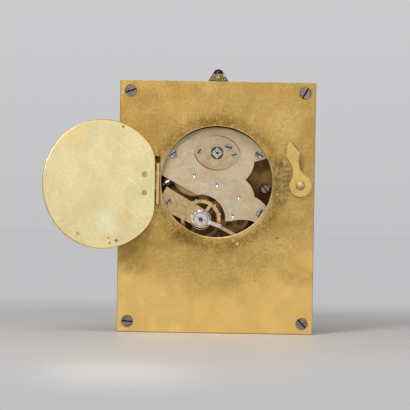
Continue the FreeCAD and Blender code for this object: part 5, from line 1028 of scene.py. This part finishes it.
# %% Floor
FLOOR_REACH = 3.0
FADE_FROM, FADE_TO = 0.08, 0.3
BACKDROP_LOW = colour(192, 192, 194)
BACKDROP_HIGH = colour(203, 203, 205)
corner = np.array([[-1, -1, 0], [1, -1, 0], [1, 1, 0], [-1, 1, 0]]) * FLOOR_REACH
floor = built("floor", corner, np.array([[0, 1, 2, 3]]))
floor_finish, tree, shader = new_finish("floor_card", colour(191, 187, 184), 0.0, 0.42)
shader.inputs["Specular IOR Level"].default_value = 0.35
glow = add(tree, "Emission", {"Color": BACKDROP_LOW, "Strength": 1.0})
fade = stretch(tree, distance(tree), FADE_FROM, FADE_TO)
faded = add(tree, "MixShader", {0: fade, 1: shader.outputs["BSDF"], 2: glow.outputs["Emission"]})
tree.links.new(faded.outputs["Shader"], tree.nodes["Material Output"].inputs["Surface"])
floor.data.materials.append(floor_finish)
print("floor reaches", FLOOR_REACH, "m each way")

# %% [markdown]
# The backdrop is the world itself: camera and see-through rays meet a pale grey that lightens
# upward. Metal mirrors a darker grey, which keeps the plate's colour deep, and all other rays
# meet a plain light that fills the shadows.

# %% World
MIRRORED, FILL = 0.55, 0.35
FILL_TINT = (0.98, 0.99, 1.0, 1.0)
RISE_FROM, RISE_TO = -0.05, 0.09
world = bpy.data.worlds.new("studio")
scene.world = world
world.use_nodes = True
tree = world.node_tree
tree.nodes.clear()
rise = add(tree, "SeparateXYZ", {0: add(tree, "TexCoord").outputs["Generated"]}).outputs["Z"]
grey = over(tree, BACKDROP_LOW, BACKDROP_HIGH, stretch(tree, rise, RISE_FROM, RISE_TO))
seen = add(tree, "Background", {"Color": grey, "Strength": 1.0})
mirrored = add(tree, "Background", {"Color": grey, "Strength": MIRRORED})
fill = add(tree, "Background", {"Color": FILL_TINT, "Strength": FILL})
path = add(tree, "LightPath").outputs
looking = {0: path["Is Camera Ray"], 1: path["Is Transmission Ray"]}
shown = add(tree, "Math", looking, operation="MAXIMUM").outputs["Value"]
glossy = path["Is Glossy Ray"]
lit = add(tree, "MixShader", {0: glossy, 1: fill.outputs[0], 2: mirrored.outputs[0]})
mixed = add(tree, "MixShader", {0: shown, 1: lit.outputs[0], 2: seen.outputs[0]})
tree.links.new(mixed.outputs["Shader"], add(tree, "OutputWorld").inputs["Surface"])
print("world ready")

# %% [markdown]
# Four soft lamps: a key above and to the left of the camera, which throws the short shadows to
# the right; one overhead; a wide fill near the camera that the flat plate mirrors; and one to the
# right that the turned lid mirrors. A fifth, small and warm, stands in for the light that the lid
# throws onto the floor in front of it, which would take very many rays to find.

# %% Lamps
CLOCK_MIDDLE = (0.0, 0.0, 0.045)
THROWN_TO = (0.022, 0.25, 0.0)
THROWN_SPREAD = math.radians(17)
THROWN_TINT = (1.0, 0.94, 0.78)


def soft_lamp(name, at, size, power, toward=CLOCK_MIDDLE):
    """A square lamp at a point, turned so that its face looks at the clock or at another point."""
    light = bpy.data.lights.new(name, "AREA")
    light.size = size
    light.energy = power
    lamp = bpy.data.objects.new(name, light)
    lamp.location = at
    lamp.rotation_mode = "QUATERNION"
    lamp.rotation_quaternion = (Vector(toward) - Vector(at)).to_track_quat("-Z", "Y")
    scene.collection.objects.link(lamp)
    return lamp


# Name, place and size in metres, power in watts
lamps = [
    soft_lamp("key_lamp", (0.42, 0.85, 0.5), 0.22, 6.5),
    soft_lamp("top_lamp", (0.1, 0.5, 0.95), 0.6, 5.0),
    soft_lamp("fill_lamp", (-0.2, 1.2, 0.1), 0.9, 2.4),
    soft_lamp("lid_lamp", (-0.8, 0.68, 0.25), 0.7, 2.4),
    soft_lamp("thrown_lamp", (0.033, 0.034, 0.07), 0.04, 0.00045, THROWN_TO),
]
lamps[-1].data.spread = THROWN_SPREAD
lamps[-1].data.color = THROWN_TINT
print("lamps:", [lamp.name for lamp in lamps])

# %% [markdown]
# The photograph was taken square on from behind, with a long lens and the camera rolled by about
# one degree. Its frame is 410 pixels wide and spans 137.8 mm at the plate. The lens follows from
# that width and the distance; the camera's axes are written straight into its matrix.

# %% Camera
DISTANCE = 0.8
FRAME_WIDTH = 137.8 * MM
SENSOR_WIDTH = 36.0
ROLL = math.radians(0.97)
AIM_ACROSS, AIM_UP = 3.8 * MM, 43.1 * MM
lens = bpy.data.cameras.new("photo_lens")
lens.sensor_width = SENSOR_WIDTH
lens.lens = SENSOR_WIDTH * DISTANCE / FRAME_WIDTH
camera = bpy.data.objects.new("photo_camera", lens)
right = (-math.cos(ROLL), 0.0, math.sin(ROLL))
up = (math.sin(ROLL), 0.0, math.cos(ROLL))
back = (0.0, 1.0, 0.0)
eye = (AIM_ACROSS, plate_high.y + DISTANCE, AIM_UP)
columns = [(*axis, 0.0) for axis in (right, up, back)] + [(*eye, 1.0)]
camera.matrix_world = Matrix(columns).transposed()
scene.collection.objects.link(camera)
scene.camera = camera
print("lens", round(lens.lens, 1), "mm at", DISTANCE, "m")
